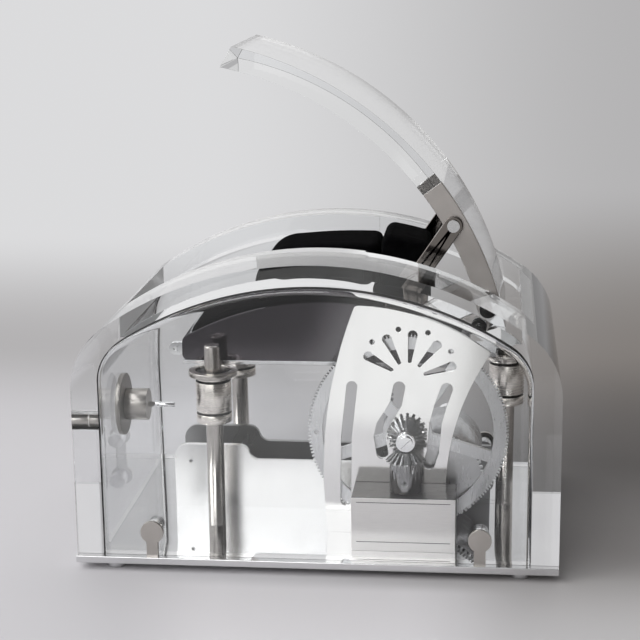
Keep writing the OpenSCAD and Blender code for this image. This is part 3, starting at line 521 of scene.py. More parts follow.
# Lid, closed
LID_Y, LID_W, LID_T = -30.4, 84.8, 10.8
LID_TIP, LID_END = -92.2, 95.3  # where its two ends are along X
LID_LEAN = 15.0  # lean of its tip, in degrees
LID_STEPS = 180
ARM_T, ARM_END, ARM_GAP = 2.4, 23.7, 0.1  # steps cut for the arms: depth, start along X, clearance
LID_OPEN = 45  # how far it stands open, in degrees
HINGE_X, HINGE_Z = 80.3, 123.541
HINGE_BORE_R, HINGE_REACH = 2, 6  # bore for the pins, and how far it goes into the case past the window

# Release button
BUTTON_Y, BUTTON_Z = -24.2, 63.2
SLEEVE_R = 4.9
COIL_WIRE = 0.3  # radius of the return spring's wire
COIL_TURNS, COIL_CLOSED = 6.5, 0.8  # all its turns, and those that lie closed at each end
COIL_STEPS, COIL_SIDES = 28, 10

# Bushings and nameplate
SHADE_BANDS = ((65.35, 66.65), (81.65, 82.95), (86.3, 87.0))  # height range of each band of painted shade
# Black of the painted shade in the grooves and in the recess at the top
GROOVE_PAINTED_SHADE = (0.012, 0.011, 0.01)
RULE_X, RULE_Z = 41.2, (11.6, 31.4)  # middle of the two rules, and the height of each
RULE_HALF, RULE_WIDTH = 22.5, 0.32
RULE_GREY = (0.05, 0.045, 0.042)

# Suede lining of the tray
TRAY_R, TRAY_CZ = 143.47, -24.47  # radius of the tray's arc, and the height of its centre
LINING_HALF, LINING_T = 66.9, 2.5
LINING_Y = (-16.4, 40.4)
LINING_STEPS = (134, 60)
ROLL_WIDTH, ROLL_DROP = 3.2, 2.4  # rolled edge
DENT_WIDTH, DENT_DEPTH = 1.9, 1.1  # dent that it takes round the cushion
SEAT_INSET, SEAT_DROP = 0.8, 0.3  # where it starts to duck under the cushion, and by how much

# Cushion and its rest
SOFT_Y = (-10.0, 34.0)
CUSHION_X = (-34.5, 26.0)
CUSHION_Z = (112.5, 144.5, 146.2)  # bottom, and the top at its nose and at its back
CUSHION_ROUND = 17.0  # radius of its nose
REST_X, REST_BOTTOM = (27.0, 51.0), 106.0
REST_RISE = 34.7  # height of its top over the tray's arc
CORNER, REST_CORNER = 4, 5
BACK_SWELL, BACK_STEPS, REST_STEPS = 0.7, 24, 16

# Swell of a pad, in parts of its half length
DOME_START, DOME_POWER = 0.72, 2.2
WAIST = 0.35
SEAM_GROOVE, SEAM_BEAD = (0.55, 0.74, 0.022), (-0.25, 0.79, 0.03)  # draw-in, place and width of a seam's lines
TIP, TIP_STEPS, LENGTH_STEPS = 0.04, 10, 60

# Slots of the case's materials, and how near, square-on or sideways a face has to be to take one
CLEAR, SAWN, PAINTED_SEAM_SHADE, PAINTED_SEAM_REFLECTION, PAINTED_FOOT_REFLECTION = range(5)
NEAR, SQUARE_ON, SIDEWAYS = 0.2, 0.9, 0.3


# ---------------------------------------------------------------- crystal


def case_slot(face):
    """Material of one face: painted reflection at the foot, the bond round the front panel, saw marks at the
    window's ends.
    """
    x, y, z = (v/MM for v in face.center)
    if face.normal.z < -SQUARE_ON and z < FLOOR_Z + 0.5:
        return PAINTED_FOOT_REFLECTION
    in_rebate = y < FRONT_Y + PANEL_T and abs(face.normal.y) < SIDEWAYS and abs(x) < HALF_IN + NEAR
    # Round the front panel the bond is black painted shade above SEAM_TURN and a silver painted reflection
    # below it.
    if in_rebate and (math.hypot(x, z - VAULT_CZ) < VAULT_R + NEAR or z < UPRIGHT_TOP):
        return PAINTED_SEAM_SHADE if z > SEAM_TURN else PAINTED_SEAM_REFLECTION
    if abs(abs(x) - WINDOW_HALF) < NEAR and abs(face.normal.x) > SQUARE_ON:
        return SAWN
    return CLEAR


class WATCHBOX_OT_crystal_case(bpy.types.Operator):
    """Clear arched case with its roof window"""

    bl_idname = "watchbox.crystal_case"
    bl_label = "Crystal case"

    def execute(self, context):
        outer = arch_path(HALF_W, ROOF_R, ROOF_CZ, SHOULDER, FLOOR_Z)
        inner = arch_path(HALF_IN, VAULT_R, VAULT_CZ, HAUNCH, FLOOR_Z)
        stations = (FRONT_Y, FRONT_Y + PANEL_T, -FRONT_Y - PANEL_T, -FRONT_Y)
        verts = [(x*MM, y*MM, z*MM) for y in stations for x, z in outer + inner]
        n = len(outer)
        faces, last = [], 2*n*(len(stations) - 1)
        for i in range(n - 1):
            a, b, c, d = i, i + 1, n + i + 1, n + i
            faces.append((a, b, c, d))
            faces.append((last + d, last + c, last + b, last + a))
            for k in range(0, last, 2*n):
                faces.append((k + a, k + 2*n + a, k + 2*n + b, k + b))
                faces.append((k + d, k + c, k + 2*n + c, k + 2*n + d))
        for k in range(0, last, 2*n):
            faces.append((k, k + n, k + 3*n, k + 2*n))
            faces.append((k + n - 1, k + 3*n - 1, k + 4*n - 1, k + 2*n - 1))
        mats = [crystal("case_crystal"), cut_crystal("sawn_crystal"), bond_painted_shade("bond_painted_shade"),
                painted_reflection_film("painted_reflection_film"), foot_painted_reflection("foot_painted_reflection")]
        case = new_piece("crystal_case", verts, faces, mats)
        (low, high), end_y = WINDOW_Z, WINDOW_Y + WINDOW_W
        relief_y, bore_y = WINDOW_Y - RELIEF, WINDOW_Y - RELIEF - HINGE_REACH
        cut_away(case, [
            box_cutter((-WINDOW_HALF, WINDOW_Y, low), (WINDOW_HALF, end_y, high)),
            box_cutter((RELIEF_X, relief_y, low - 1), (WINDOW_HALF, end_y + RELIEF, high + 1)),
            rod_cutter(1, (HINGE_X, bore_y, HINGE_Z), HINGE_BORE_R, WINDOW_W + 2*(RELIEF + HINGE_REACH)),
            rod_cutter(0, (-HALF_W - 1, BUTTON_Y, BUTTON_Z), SLEEVE_R, HALF_W - HALF_IN + 2)])
        for face in case.data.polygons:
            face.material_index = case_slot(face)
        chamfer(case, context.scene.watchbox_crystal.edge)
        stand_in(case, "case", "crystal_body")
        return {"FINISHED"}


def rounded_panel(name, y, mats):
    """Panel whose outer edge is rolled over on the side that faces out."""
    outer = -1 if y < 0 else 1
    flush = y if outer < 0 else y + PANEL_T
    rings = []
    for i in range(PANEL_ROLL_STEPS + 1):
        a = math.pi/2*i/PANEL_ROLL_STEPS
        rings.append((PANEL_ROLL*(1 - math.sin(a)), flush - outer*PANEL_ROLL_DEPTH*(1 - math.cos(a))))
    rings.append((0, flush - outer*PANEL_T))
    verts, faces = [], []
    for inset, at in rings:
        gap = PANEL_GAP + inset
        path = arch_path(HALF_IN - gap, VAULT_R - gap, VAULT_CZ, HAUNCH - gap, FLOOR_Z)
        verts += [(x*MM, at*MM, z*MM) for x, z in path]
    n = len(verts)//len(rings)
    for k in range(0, len(verts) - n, n):
        faces += [(k + i, k + (i + 1) % n, k + n + (i + 1) % n, k + n + i) for i in range(n)]
    faces += [tuple(range(n)), tuple(range(len(verts) - 1, len(verts) - n - 1, -1))]
    return new_piece(name, verts, faces, mats)


class WATCHBOX_OT_crystal_panels(bpy.types.Operator):
    """Front and rear panels, set into the case's ends"""

    bl_idname = "watchbox.crystal_panels"
    bl_label = "Crystal panels"

    def execute(self, context):
        painted_seam = [bpy.data.materials["bond_painted_shade"], bpy.data.materials["painted_reflection_film"]]
        clear = crystal("panel_crystal")
        for name, y in (("front_panel", FRONT_Y), ("rear_panel", -FRONT_Y - PANEL_T)):
            panel = rounded_panel(name + "_clear", y, [clear, *painted_seam])
            depth = PANEL_T + 2
            cutters = [rod_cutter(1, (side*STUD_X, y - 1, STUD_Z), STUD_HOLE_R, depth) for side in (-1, 1)]
            if name == "rear_panel":
                cutters.append(rod_cutter(1, (ARBOR_X, y - 1, ARBOR_Z), ARBOR_HOLE_R, depth))
            cut_away(panel, cutters)
            for face in panel.data.polygons:
                x, _, z = (abs(v)/MM for v in face.center)
                # The front panel's rim faces take the bond's painted shade above SEAM_TURN and its painted
                # reflection below it.
                rim = y < 0 and abs(face.normal.y) < SIDEWAYS and (x > HALF_IN - RIM_INSET or z > RIM_Z)
                face.material_index = (1 if z > SEAM_TURN else 2) if rim else 0
            chamfer(panel, context.scene.watchbox_crystal.edge, angle=50)
            stand_in(panel, "case", name)
        return {"FINISHED"}


def lid_outline():
    """Side view of the closed lid: the roof's own arc, and a second one inside it, cut off on a lean."""
    inner_r = ROOF_R - LID_T
    tip_z = ROOF_CZ + math.sqrt(ROOF_R**2 - LID_TIP**2)
    lean = math.radians(LID_LEAN)
    inner_tip = LID_TIP + LID_T*math.sin(lean)
    for _ in range(4):
        drop = tip_z - (ROOF_CZ + math.sqrt(inner_r**2 - inner_tip**2))
        inner_tip = LID_TIP + drop*math.tan(lean)
    outline = []
    for r, x0, x1 in ((ROOF_R, LID_TIP, LID_END), (inner_r, LID_END, inner_tip)):
        for i in range(LID_STEPS + 1):
            x = x0 + (x1 - x0)*i/LID_STEPS
            outline.append((x, ROOF_CZ + math.sqrt(r*r - x*x)))
    return outline


class WATCHBOX_OT_crystal_lid(bpy.types.Operator):
    """Curved crystal lid, standing open"""

    bl_idname = "watchbox.crystal_lid"
    bl_label = "Crystal lid"

    def execute(self, context):
        mats = [crystal("lid_crystal_clear"), painted_reflection_film("step_painted_reflection")]
        lid = extruded("lid_clear", lid_outline(), LID_Y, LID_Y + LID_W, mats)
        lean, far = math.asin((ARM_END - ARM_GAP)/ROOF_R), 300
        wedge = [(0, ROOF_CZ), (far*math.sin(lean), ROOF_CZ + far*math.cos(lean)),
                 (far, ROOF_CZ + far), (far, ROOF_CZ)]
        front, rear = LID_Y + ARM_T + ARM_GAP, LID_Y + LID_W - ARM_T - ARM_GAP
        cut_away(lid, [extruded("cutter", wedge, LID_Y - 1, front, [], 0),
                       extruded("cutter", wedge, rear, LID_Y + LID_W + 1, [], 0)])
        # The side faces of the arms' steps take a silver mirror: painted reflection.
        for face in lid.data.polygons:
            in_step = not front <= face.center.y/MM <= rear
            face.material_index = 1 if in_step and abs(face.normal.y) < SIDEWAYS else 0
        pivot = Matrix.Translation((HINGE_X*MM, 0, HINGE_Z*MM))
        lid.data.transform(pivot @ Matrix.Rotation(math.radians(LID_OPEN), 4, "Y") @ pivot.inverted())
        chamfer(lid, context.scene.watchbox_crystal.edge)
        stand_in(lid, "lid", "lid_crystal")
        return {"FINISHED"}


# ---------------------------------------------------------------- metal


class WATCHBOX_OT_stand(bpy.types.Operator):
    """Base plate, feet and the clips that hold the panels"""

    bl_idname = "watchbox.stand"
    bl_label = "Stand"

    def execute(self, context):
        metal = context.scene.watchbox_metal
        steel = tuple(metal.steel)
        dress(["base_plate"], mirror_steel("base_polish", scaled(metal.mirror, 0.9)), edge=0.0004)
        dress(["base_feet"], turned_steel("foot_steel", steel, (0, 0, 1)))
        dress(["panel_clips"], satin_steel("clip_steel", scaled(metal.warm, 0.9), rough=(0.28, 0.36)))
        dress(["panel_studs"], turned_steel("stud_steel", steel, (0, 1, 0)))
        dress(["column_screws"], satin_steel("screw_steel", scaled(steel, 0.6)), edge=0)
        return {"FINISHED"}


class WATCHBOX_OT_columns(bpy.types.Operator):
    """Guide columns with their bushings and flange rings"""

    bl_idname = "watchbox.columns"
    bl_label = "Columns"

    def execute(self, context):
        metal = context.scene.watchbox_metal
        warm = tuple(metal.warm)
        dress(["guide_columns"], turned_steel("column_steel", warm, (0, 0, 1), rough=(0.2, 0.28)))
        dress(["linear_bushings"], groove_shaded_steel("bushing_steel", scaled(warm, 1.65)), edge=0.0002)
        flange = turned_steel("flange_steel", scaled(warm, 1.1), (0, 0, 1), rough=(0.22, 0.3))
        dress(["bushing_flanges"], flange)
        dress(["carriage_plate"], satin_steel("carriage_steel", scaled(metal.steel, 1.2)))
        return {"FINISHED"}


class WATCHBOX_OT_plates(bpy.types.Operator):
    """Bridge, cock and bearing plates of the movement"""

    bl_idname = "watchbox.plates"
    bl_label = "Movement plates"

    def execute(self, context):
        metal = context.scene.watchbox_metal
        dress(["front_bridge"], mirror_steel("bridge_polish", (0.92, 0.91, 0.9), rough=(0.08, 0.13)))
        dress(["arbor_cock"], mirror_steel("cock_polish", scaled(metal.mirror, 0.85), rough=(0.06, 0.12)))
        front = mirror_steel("front_plate_satin", (0.95, 0.945, 0.94), rough=(0.2, 0.26))
        dress(["front_bearing_plate"], front)
        # The rear plate is mirror steel darkened to 0.3 of its colour: painted shade, as it stands unlit
        # behind the bright front plate.
        rear = mirror_steel("rear_plate_painted_shade", scaled(metal.mirror, 0.3), rough=(0.25, 0.32))
        dress(["rear_bearing_plate"], rear)
        pillar = turned_steel("pillar_steel", tuple(metal.steel), (0, 1, 0))
        dress(["plate_pillars", "plate_screws"], pillar, edge=0.0002)
        return {"FINISHED"}


class WATCHBOX_OT_train(bpy.types.Operator):
    """Great wheel, pinions, rack and mitre gears"""

    bl_idname = "watchbox.train"
    bl_label = "Wheel train"

    def execute(self, context):
        metal = context.scene.watchbox_metal
        steel = tuple(metal.steel)
        dress(["great_wheel"], brushed_steel("wheel_steel", scaled(steel, 1.15), (0, 0, 1)), edge=0.00012)
        dress(["wheel_arbor"], mirror_steel("arbor_polish", scaled(steel, 1.2)), edge=0.0002)
        dress(["train_pinion", "rack_pinion"], satin_steel("pinion_steel", scaled(steel, 1.1)), edge=0.0001)
        dress(["lift_rack"], satin_steel("rack_steel", steel), edge=0.0001)
        mitre = mirror_steel("mitre_polish", scaled(metal.mirror, 0.34), rough=(0.06, 0.14))
        dress(["front_mitre_gear", "lower_mitre_gear"], mitre, edge=0.00015)
        nose = mirror_steel("nose_polish", tuple(metal.mirror), rough=(0.06, 0.12))
        dress(["mitre_washer", "mitre_screw"], nose, edge=0.0002)
        dress(["mitre_set_screw"], satin_steel("set_screw_steel", scaled(steel, 0.5)), edge=0.0001)
        dress(["barrel_gear"], brushed_steel("barrel_gear_steel", steel, (0, 0, 1)), edge=0.0001)
        dress(["barrel_drum"], turned_steel("barrel_steel", scaled(steel, 0.8), (0, 1, 0)))
        winding = satin_steel("winding_steel", steel)
        dress(["winding_arbor", "ratchet_wheel", "click", "click_spring"], winding, edge=0.00015)
        dress(["mainspring"], satin_steel("blued_spring", (0.1, 0.14, 0.25)), edge=0)
        return {"FINISHED"}


class WATCHBOX_OT_governor(bpy.types.Operator):
    """Governor housing, its plate, shaft and air brake"""

    bl_idname = "watchbox.governor"
    bl_label = "Governor"

    def execute(self, context):
        steel = tuple(context.scene.watchbox_metal.steel)
        housing = brushed_steel("housing_steel", (0.06, 0.055, 0.052), (1, 0, 0))
        dress(["governor_block"], housing, edge=0.0004)
        dress(["nameplate"], ruled_plate("plate_steel", (0.9, 0.875, 0.86)))
        dress(["governor_shaft", "fly_arbor"], satin_steel("shaft_steel", steel), edge=0.0001)
        dress(["fly_blades"], satin_steel("fly_brass", (0.72, 0.5, 0.18)), edge=0.0001)
        return {"FINISHED"}


class WATCHBOX_OT_tray(bpy.types.Operator):
    """Polished tray with its lug and pins"""

    bl_idname = "watchbox.tray"
    bl_label = "Tray"

    def execute(self, context):
        metal = context.scene.watchbox_metal
        dress(["tray_shell"], mirror_steel("tray_polish", tuple(metal.tray), rough=(0.05, 0.1)), edge=0.0003)
        dress(["catch_lug"], mirror_steel("lug_polish", tuple(metal.mirror)), edge=0.0002)
        dress(["tray_link_pins"], mirror_steel("pin_polish", tuple(metal.mirror)), edge=0.0002)
        return {"FINISHED"}


# ---------------------------------------------------------------- suede


def crest(r, x):
    """Height at x of an arc round the tray's own centre."""
    return TRAY_CZ + math.sqrt(r*r - x*x)


def hump(height, place, width, t):
    """Smooth hump of a value round one place."""
    return height*math.exp(-((t - place)/width)**2)


def padded_form(name, outline, mat, crown):
    """Stuffed pad: the outline swells along Y, draws in at a seam near each end, and closes in a dome."""
    half, middle = (SOFT_Y[1] - SOFT_Y[0])/2, (SOFT_Y[0] + SOFT_Y[1])/2
    n = len(outline)
    cx, cz = sum(x for x, _ in outline)/n, sum(z for _, z in outline)/n
    reach = max(math.hypot(x - cx, z - cz) for x, z in outline)
    tip = [1 - TIP*i/TIP_STEPS for i in range(TIP_STEPS)]
    length = [(1 - TIP)*(2*i/LENGTH_STEPS - 1) for i in range(LENGTH_STEPS + 1)]
    stations = [-t for t in tip] + length + tip[::-1]
    verts, faces = [], []
    for t in stations:
        depth = max(0.0, abs(t) - DOME_START)/(1 - DOME_START)
        inset = crown*(1 - math.sqrt(max(0.0, 1 - depth**DOME_POWER))) + WAIST*t*t
        inset += hump(*SEAM_GROOVE, abs(t)) + hump(*SEAM_BEAD, abs(t))
        for i, (x, z) in enumerate(outline):
            crease = 0.12*math.sin(9*t + 0.7*math.sin(i*0.37)) + 0.08*math.sin(17*t + i*0.21)
            k = 1 - (inset + max(0.0, crease)*(1 - depth))/reach
            verts.append(((cx + (x - cx)*k)*MM, (middle + half*t)*MM, (cz + (z - cz)*k)*MM))
    for ring in range(0, len(verts) - n, n):
        faces += [(ring + i, ring + (i + 1) % n, ring + n + (i + 1) % n, ring + n + i) for i in range(n)]
    for first, t in ((0, -1), (len(verts) - n, 1)):
        hub = len(verts)
        verts.append((cx*MM, (middle + half*t)*MM, cz*MM))
        faces += [(hub, first + i, first + (i + 1) % n) for i in range(n)]
    return new_piece(name, verts, faces, [mat], 60)


def seat_depth(x, y):
    """How far off the cushion or its rest is, and how low the lining has to lie under them."""
    nearest, floor = math.inf, None
    for (x0, x1), bottom in ((CUSHION_X, CUSHION_Z[0]), (REST_X, REST_BOTTOM)):
        away = max(x0 - x, x - x1, SOFT_Y[0] - y, y - SOFT_Y[1])
        nearest = min(nearest, away)
        if away < -SEAT_INSET:
            floor = bottom - SEAT_DROP
    return nearest, floor


def lining_form(name, mat):
    """Suede that fills the tray: rolled over at its edges and drawn down round the cushion."""
    nx, ny = LINING_STEPS
    y0, y1 = LINING_Y
    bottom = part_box("tray_lining")[0].z
    verts, faces = [], []
    for j in range(ny + 1):
        y = y0 + (y1 - y0)*j/ny
        for i in range(nx + 1):
            x = LINING_HALF*(2*i/nx - 1)
            roll = max(0.0, 1 - min(LINING_HALF - abs(x), y - y0, y1 - y)/ROLL_WIDTH)
            z = crest(TRAY_R + LINING_T, x) - ROLL_DROP*(1 - math.sqrt(max(0.0, 1 - roll*roll)))
            away, floor = seat_depth(x, y)
            z -= hump(DENT_DEPTH, 0, DENT_WIDTH, max(0.0, away))
            z -= 0.1*(1 + math.sin(0.31*x + 0.8*math.sin(0.22*y)))
            verts.append((x*MM, y*MM, (z if floor is None else min(z, floor))*MM))
    top, row = len(verts), nx + 1
    verts += [(x, y, bottom) for x, y, _ in verts[:top]]
    for j in range(ny):
        for a in range(j*row, j*row + nx):
            faces.append((a, a + 1, a + row + 1, a + row))
            faces.append((top + a, top + a + row, top + a + row + 1, top + a + 1))
    rim = [*range(nx), *range(nx, ny*row + nx, row), *range(ny*row + nx, ny*row, -1), *range(ny*row, 0, -row)]
    for a, b in zip(rim, rim[1:] + rim[:1]):
        faces.append((a, b, top + b, top + a))
    return new_piece(name, verts, faces, [mat], 40)


def cushion_outline():
    """Round nose on the left, a back that rises to the right, and two rounded corners."""
    (left, right), (bottom, low, high) = CUSHION_X, CUSHION_Z
    nose = rounded_corner((left + CUSHION_ROUND, low - CUSHION_ROUND), CUSHION_ROUND, 270, 90, 36)
    outline = [(x, max(z, bottom)) for x, z in nose]
    start, end = left + CUSHION_ROUND, right - CORNER
    for i in range(1, BACK_STEPS + 1):
        part = i/BACK_STEPS
        swell = BACK_SWELL*math.sin(math.pi*part)
        outline.append((start + (end - start)*part, low + (high - low)*part + swell))
    outline += rounded_corner((end, high - CORNER), CORNER, 90, 0)
    return outline + rounded_corner((end, bottom + CORNER), CORNER, 0, -90)


def rest_outline():
    """Upright block whose top follows the tray's arc."""
    left, right = REST_X
    start, end = left + REST_CORNER, right - REST_CORNER
    places = [start + (end - start)*i/REST_STEPS for i in range(REST_STEPS + 1)]
    top = [(x, crest(TRAY_R + REST_RISE, x)) for x in places]
    foot = REST_BOTTOM + CORNER
    return (top + rounded_corner((end, top[-1][1] - REST_CORNER), REST_CORNER, 90, 0)
            + rounded_corner((right - CORNER, foot), CORNER, 0, -90)
            + rounded_corner((left + CORNER, foot), CORNER, -90, -180)
            + rounded_corner((start, top[0][1] - REST_CORNER), REST_CORNER, 180, 90))


class WATCHBOX_OT_soft(bpy.types.Operator):
    """Suede lining and watch cushion"""

    bl_idname = "watchbox.soft"
    bl_label = "Lining and cushion"

    def execute(self, context):
        nap = suede("black_suede")
        cushion = padded_form("watch_cushion_suede", cushion_outline(), nap, crown=3.2)
        rest = padded_form("cushion_rest_suede", rest_outline(), nap, crown=2.6)
        lining = lining_form("tray_lining_suede", nap)
        for piece, node in ((cushion, "watch_cushion"), (rest, "cushion_rest"), (lining, "tray_lining")):
            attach(piece, "tray")
            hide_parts(node)
        return {"FINISHED"}


# ---------------------------------------------------------------- lid work and button


class WATCHBOX_OT_lid_work(bpy.types.Operator):
    """Lid arms, links, hinge pins and their screws"""

    bl_idname = "watchbox.lid_work"
    bl_label = "Lid arms and links"

    def execute(self, context):
        metal = context.scene.watchbox_metal
        arm = satin_steel("arm_steel", tuple(metal.arms), rough=(0.34, 0.44))
        dress(["lid_arm_front", "lid_arm_rear"], arm, edge=0.0003)
        link = mirror_steel("link_polish", (0.13, 0.118, 0.11), rough=(0.06, 0.12))
        dress(["lift_link_front", "lift_link_rear"], link, edge=0.0004)
        pivot = satin_steel("pivot_polish", scaled(metal.steel, 1.1))
        dress(["hinge_pins", "link_screws"], pivot, edge=0.0005)
        return {"FINISHED"}


def coil_spring(name, mat):
    """Round-wire coil round the button's stem, with a closed turn at each end."""
    low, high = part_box("button_spring")
    wire = COIL_WIRE*MM
    radius = (high.z - low.z)/2 - wire
    start, end = low.x + wire*1.02, high.x - wire*1.02
    centre = Vector((0, BUTTON_Y*MM, BUTTON_Z*MM))
    steps = int(COIL_TURNS*COIL_STEPS)
    spine, outward = [], []
    for i in range(steps + 1):
        turned = COIL_TURNS*i/steps
        ease = min(1.0, max(0.0, (turned - COIL_CLOSED)/(COIL_TURNS - 2*COIL_CLOSED)))
        a = 2*math.pi*turned
        outward.append(Vector((0, math.cos(a), math.sin(a))))
        spine.append(centre + radius*outward[-1] + Vector((start + (end - start)*ease, 0, 0)))
    verts, faces, n = [], [], COIL_SIDES
    for i, point in enumerate(spine):
        along = (spine[min(i + 1, steps)] - spine[max(i - 1, 0)]).normalized()
        across = along.cross(outward[i]).normalized()
        for k in range(n):
            a = 2*math.pi*k/n
            verts.append(tuple(point + wire*(math.cos(a)*outward[i] + math.sin(a)*across)))
    for i in range(0, steps*n, n):
        faces += [(i + k, i + (k + 1) % n, i + n + (k + 1) % n, i + n + k) for k in range(n)]
    faces += [tuple(range(n)), tuple(range(steps*n + n - 1, steps*n - 1, -1))]
    return new_piece(name, verts, faces, [mat], 50)


class WATCHBOX_OT_button(bpy.types.Operator):
    """Release button in the left wall"""

    bl_idname = "watchbox.button"
    bl_label = "Release button"

    def execute(self, context):
        metal = context.scene.watchbox_metal
        warm = tuple(metal.warm)
        sleeve = brushed_steel("sleeve_steel", warm, (1, 0, 0), rough=(0.26, 0.36))
        dress(["button_sleeve", "push_button"], sleeve, edge=0.0003)
        flange = satin_steel("button_flange_steel", scaled(warm, 0.55), rough=(0.32, 0.42))
        dress(["button_flange"], flange, edge=0.0003)
        dress(["button_hub"], satin_steel("hub_steel", scaled(warm, 0.8), rough=(0.28, 0.36)), edge=0.0003)
        dress(["release_rod"], mirror_steel("rod_polish", tuple(metal.mirror)), edge=0.0001)
        coil = coil_spring("button_spring_coil", satin_steel("return_spring_steel", tuple(metal.steel)))
        stand_in(coil, "case", "button_spring")
        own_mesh(coil)
        return {"FINISHED"}


# ---------------------------------------------------------------- stage, in metres

# Main view: its place, its angles in degrees, its lens and film width in mm.
EYE, EYE_SIDE, EYE_DOWN, EYE_ROLL = (0.083008, -0.817437, 0.301742), 6.11641, 13.437443, -0.655268
LENS, FILM_W = 93.718614, 36
# Fixed point on the floor, under the main view, that its side-to-side shades fan out from, and the least
# depth that the fan is measured at.
FAN, FAN_LEAST = (0.083, -0.817), 0.4
FLOOR_HALF = 12
LAMPS = (
    ("left_softbox", (-1.3, -0.5, 1.2), (0, 0, 0.08), (1.2, 1.2), 17, (1, 0.995, 0.99)),
    ("top_softbox", (-0.1, 0.5, 1.5), (0, 0, 0.1), (1.4, 1.0), 5, (1, 1, 1)),
    ("front_softbox", (-0.5, -1.4, 1.1), (0, 0, 0.1), (0.8, 0.6), 7, (1, 1, 1)),
)


def area_light(name, position, aim, size, power, color):
    """Rectangular soft lamp, turned to its aim."""
    data = bpy.data.lights.new(name, "AREA")
    data.shape = "RECTANGLE"
    data.size, data.size_y = size
    data.energy = power
    data.color = color
    lamp = bpy.data.objects.new(name, data)
    bpy.context.collection.objects.link(lamp)
    lamp.location = position
    lamp.rotation_euler = (Vector(aim) - Vector(position)).to_track_quat("-Z", "Y").to_euler()


def paper_color(tree, y, slope, aside):
    """Lit paper near the box: pale, with painted shade to the right and a painted pool of light in front."""
    shade = blend_color(tree, blend_value(tree, y, -0.15, -0.03), (0.54, 0.53, 0.535), (0.29, 0.275, 0.27))
    shade = blend_color(tree, blend_value(tree, y, 0.0, 0.11), shade, (0.15, 0.14, 0.135))
    paper = blend_color(tree, aside, tuple(bpy.context.scene.watchbox_stage.floor), shade)
    left, right = blend_value(tree, slope, -0.25, -0.17), blend_value(tree, slope, 0.03, -0.06)
    # Painted pool of light in front of the box, where its own shadow falls.
    painted_light_patch = chained(tree, "MULTIPLY", [left, right, blend_value(tree, y, -0.085, -0.1)])
    return blend_color(tree, painted_light_patch, paper, (0.73, 0.715, 0.735))


def sweep_color(tree, y, aside):
    """Glowing paper behind the box, in painted light and shade: darkest just behind it, and paler as it
    climbs; dimmer on the right.
    """
    bright = blend_color(tree, blend_value(tree, y, 0.04, 0.36), (0.58, 0.57, 0.59), (0.455, 0.445, 0.45))
    bright = blend_color(tree, blend_value(tree, y, 0.34, 0.8), bright, (0.71, 0.71, 0.72))
    dim = blend_color(tree, blend_value(tree, y, 0.1, 0.38), (0.115, 0.106, 0.1), (0.225, 0.207, 0.195))
    dim = blend_color(tree, blend_value(tree, y, 0.3, 1.15), dim, (0.46, 0.455, 0.46))
    return blend_color(tree, aside, bright, dim)


def card_color(tree, x, y):
    """White card in front of the box, a glow seen only in reflections and through crystal: painted reflection.
    Grey beyond it on the left and dark on the right.
    """
    far, left = blend_value(tree, y, -0.34, -0.4), blend_value(tree, x, -0.03, -0.06)
    beyond = math_node(tree, "MULTIPLY", far, left)
    card = blend_color(tree, beyond, tuple(bpy.context.scene.watchbox_stage.card), (0.34, 0.335, 0.34))
    return blend_color(tree, blend_value(tree, x, 0.045, 0.1), card, (0.1, 0.09, 0.083))


def studio_floor_paper():
    """Seamless paper: lit by the lamps under the box, with painted shade and painted light there, and a soft
    sweep of its own brightness farther out.
    """
    finish = Finish("studio_floor").set(Roughness=0.7, Specular_IOR_Level=0.2)
    tree = finish.tree
    x, y, _ = split(tree, finish.coord)
    depth = math_node(tree, "MAXIMUM", math_node(tree, "SUBTRACT", y, FAN[1]), FAN_LEAST)
    slope = math_node(tree, "DIVIDE", math_node(tree, "SUBTRACT", x, FAN[0]), depth)
    aside = blend_value(tree, slope, -0.187, 0.093)
    plain = tree.nodes.new("ShaderNodeVectorMath")
    plain.operation = "SCALE"
    tree.links.new(paper_color(tree, y, slope, aside), plain.inputs[0])
    mottle = finish.span(finish.noise(scale=1.2, detail=2, rough=0.4), 0.985, 1.015)
    tree.links.new(mottle, plain.inputs["Scale"])
    tree.links.new(plain.outputs[0], finish.shader.inputs["Base Color"])

    # Its own brightness shows far out, and the card in front shows only in reflections and through crystal.
    path = tree.nodes.new("ShaderNodeLightPath").outputs
    indirect = math_node(tree, "MAXIMUM", path["Is Glossy Ray"], path["Is Transmission Ray"])
    ahead = math_node(tree, "MULTIPLY", blend_value(tree, y, -0.2, -0.26), indirect)
    behind = blend_value(tree, y, 0.11, 0.34)
    beside = blend_value(tree, math_node(tree, "ABSOLUTE", x), 0.4, 0.8)
    before = blend_value(tree, y, -0.5, -1.0)
    reach = chained(tree, "MAXIMUM", [behind, beside, ahead, before])
    seen = math_node(tree, "MAXIMUM", path["Is Camera Ray"], indirect)
    glow = tree.nodes.new("ShaderNodeEmission")
    color = blend_color(tree, ahead, sweep_color(tree, y, aside), card_color(tree, x, y))
    tree.links.new(color, glow.inputs["Color"])
    mix = tree.nodes.new("ShaderNodeMixShader")
    tree.links.new(math_node(tree, "MULTIPLY", reach, seen), mix.inputs[0])
    tree.links.new(finish.shader.outputs[0], mix.inputs[1])
    tree.links.new(glow.outputs[0], mix.inputs[2])
    tree.links.new(mix.outputs[0], tree.nodes["Material Output"].inputs["Surface"])
    return finish.mat


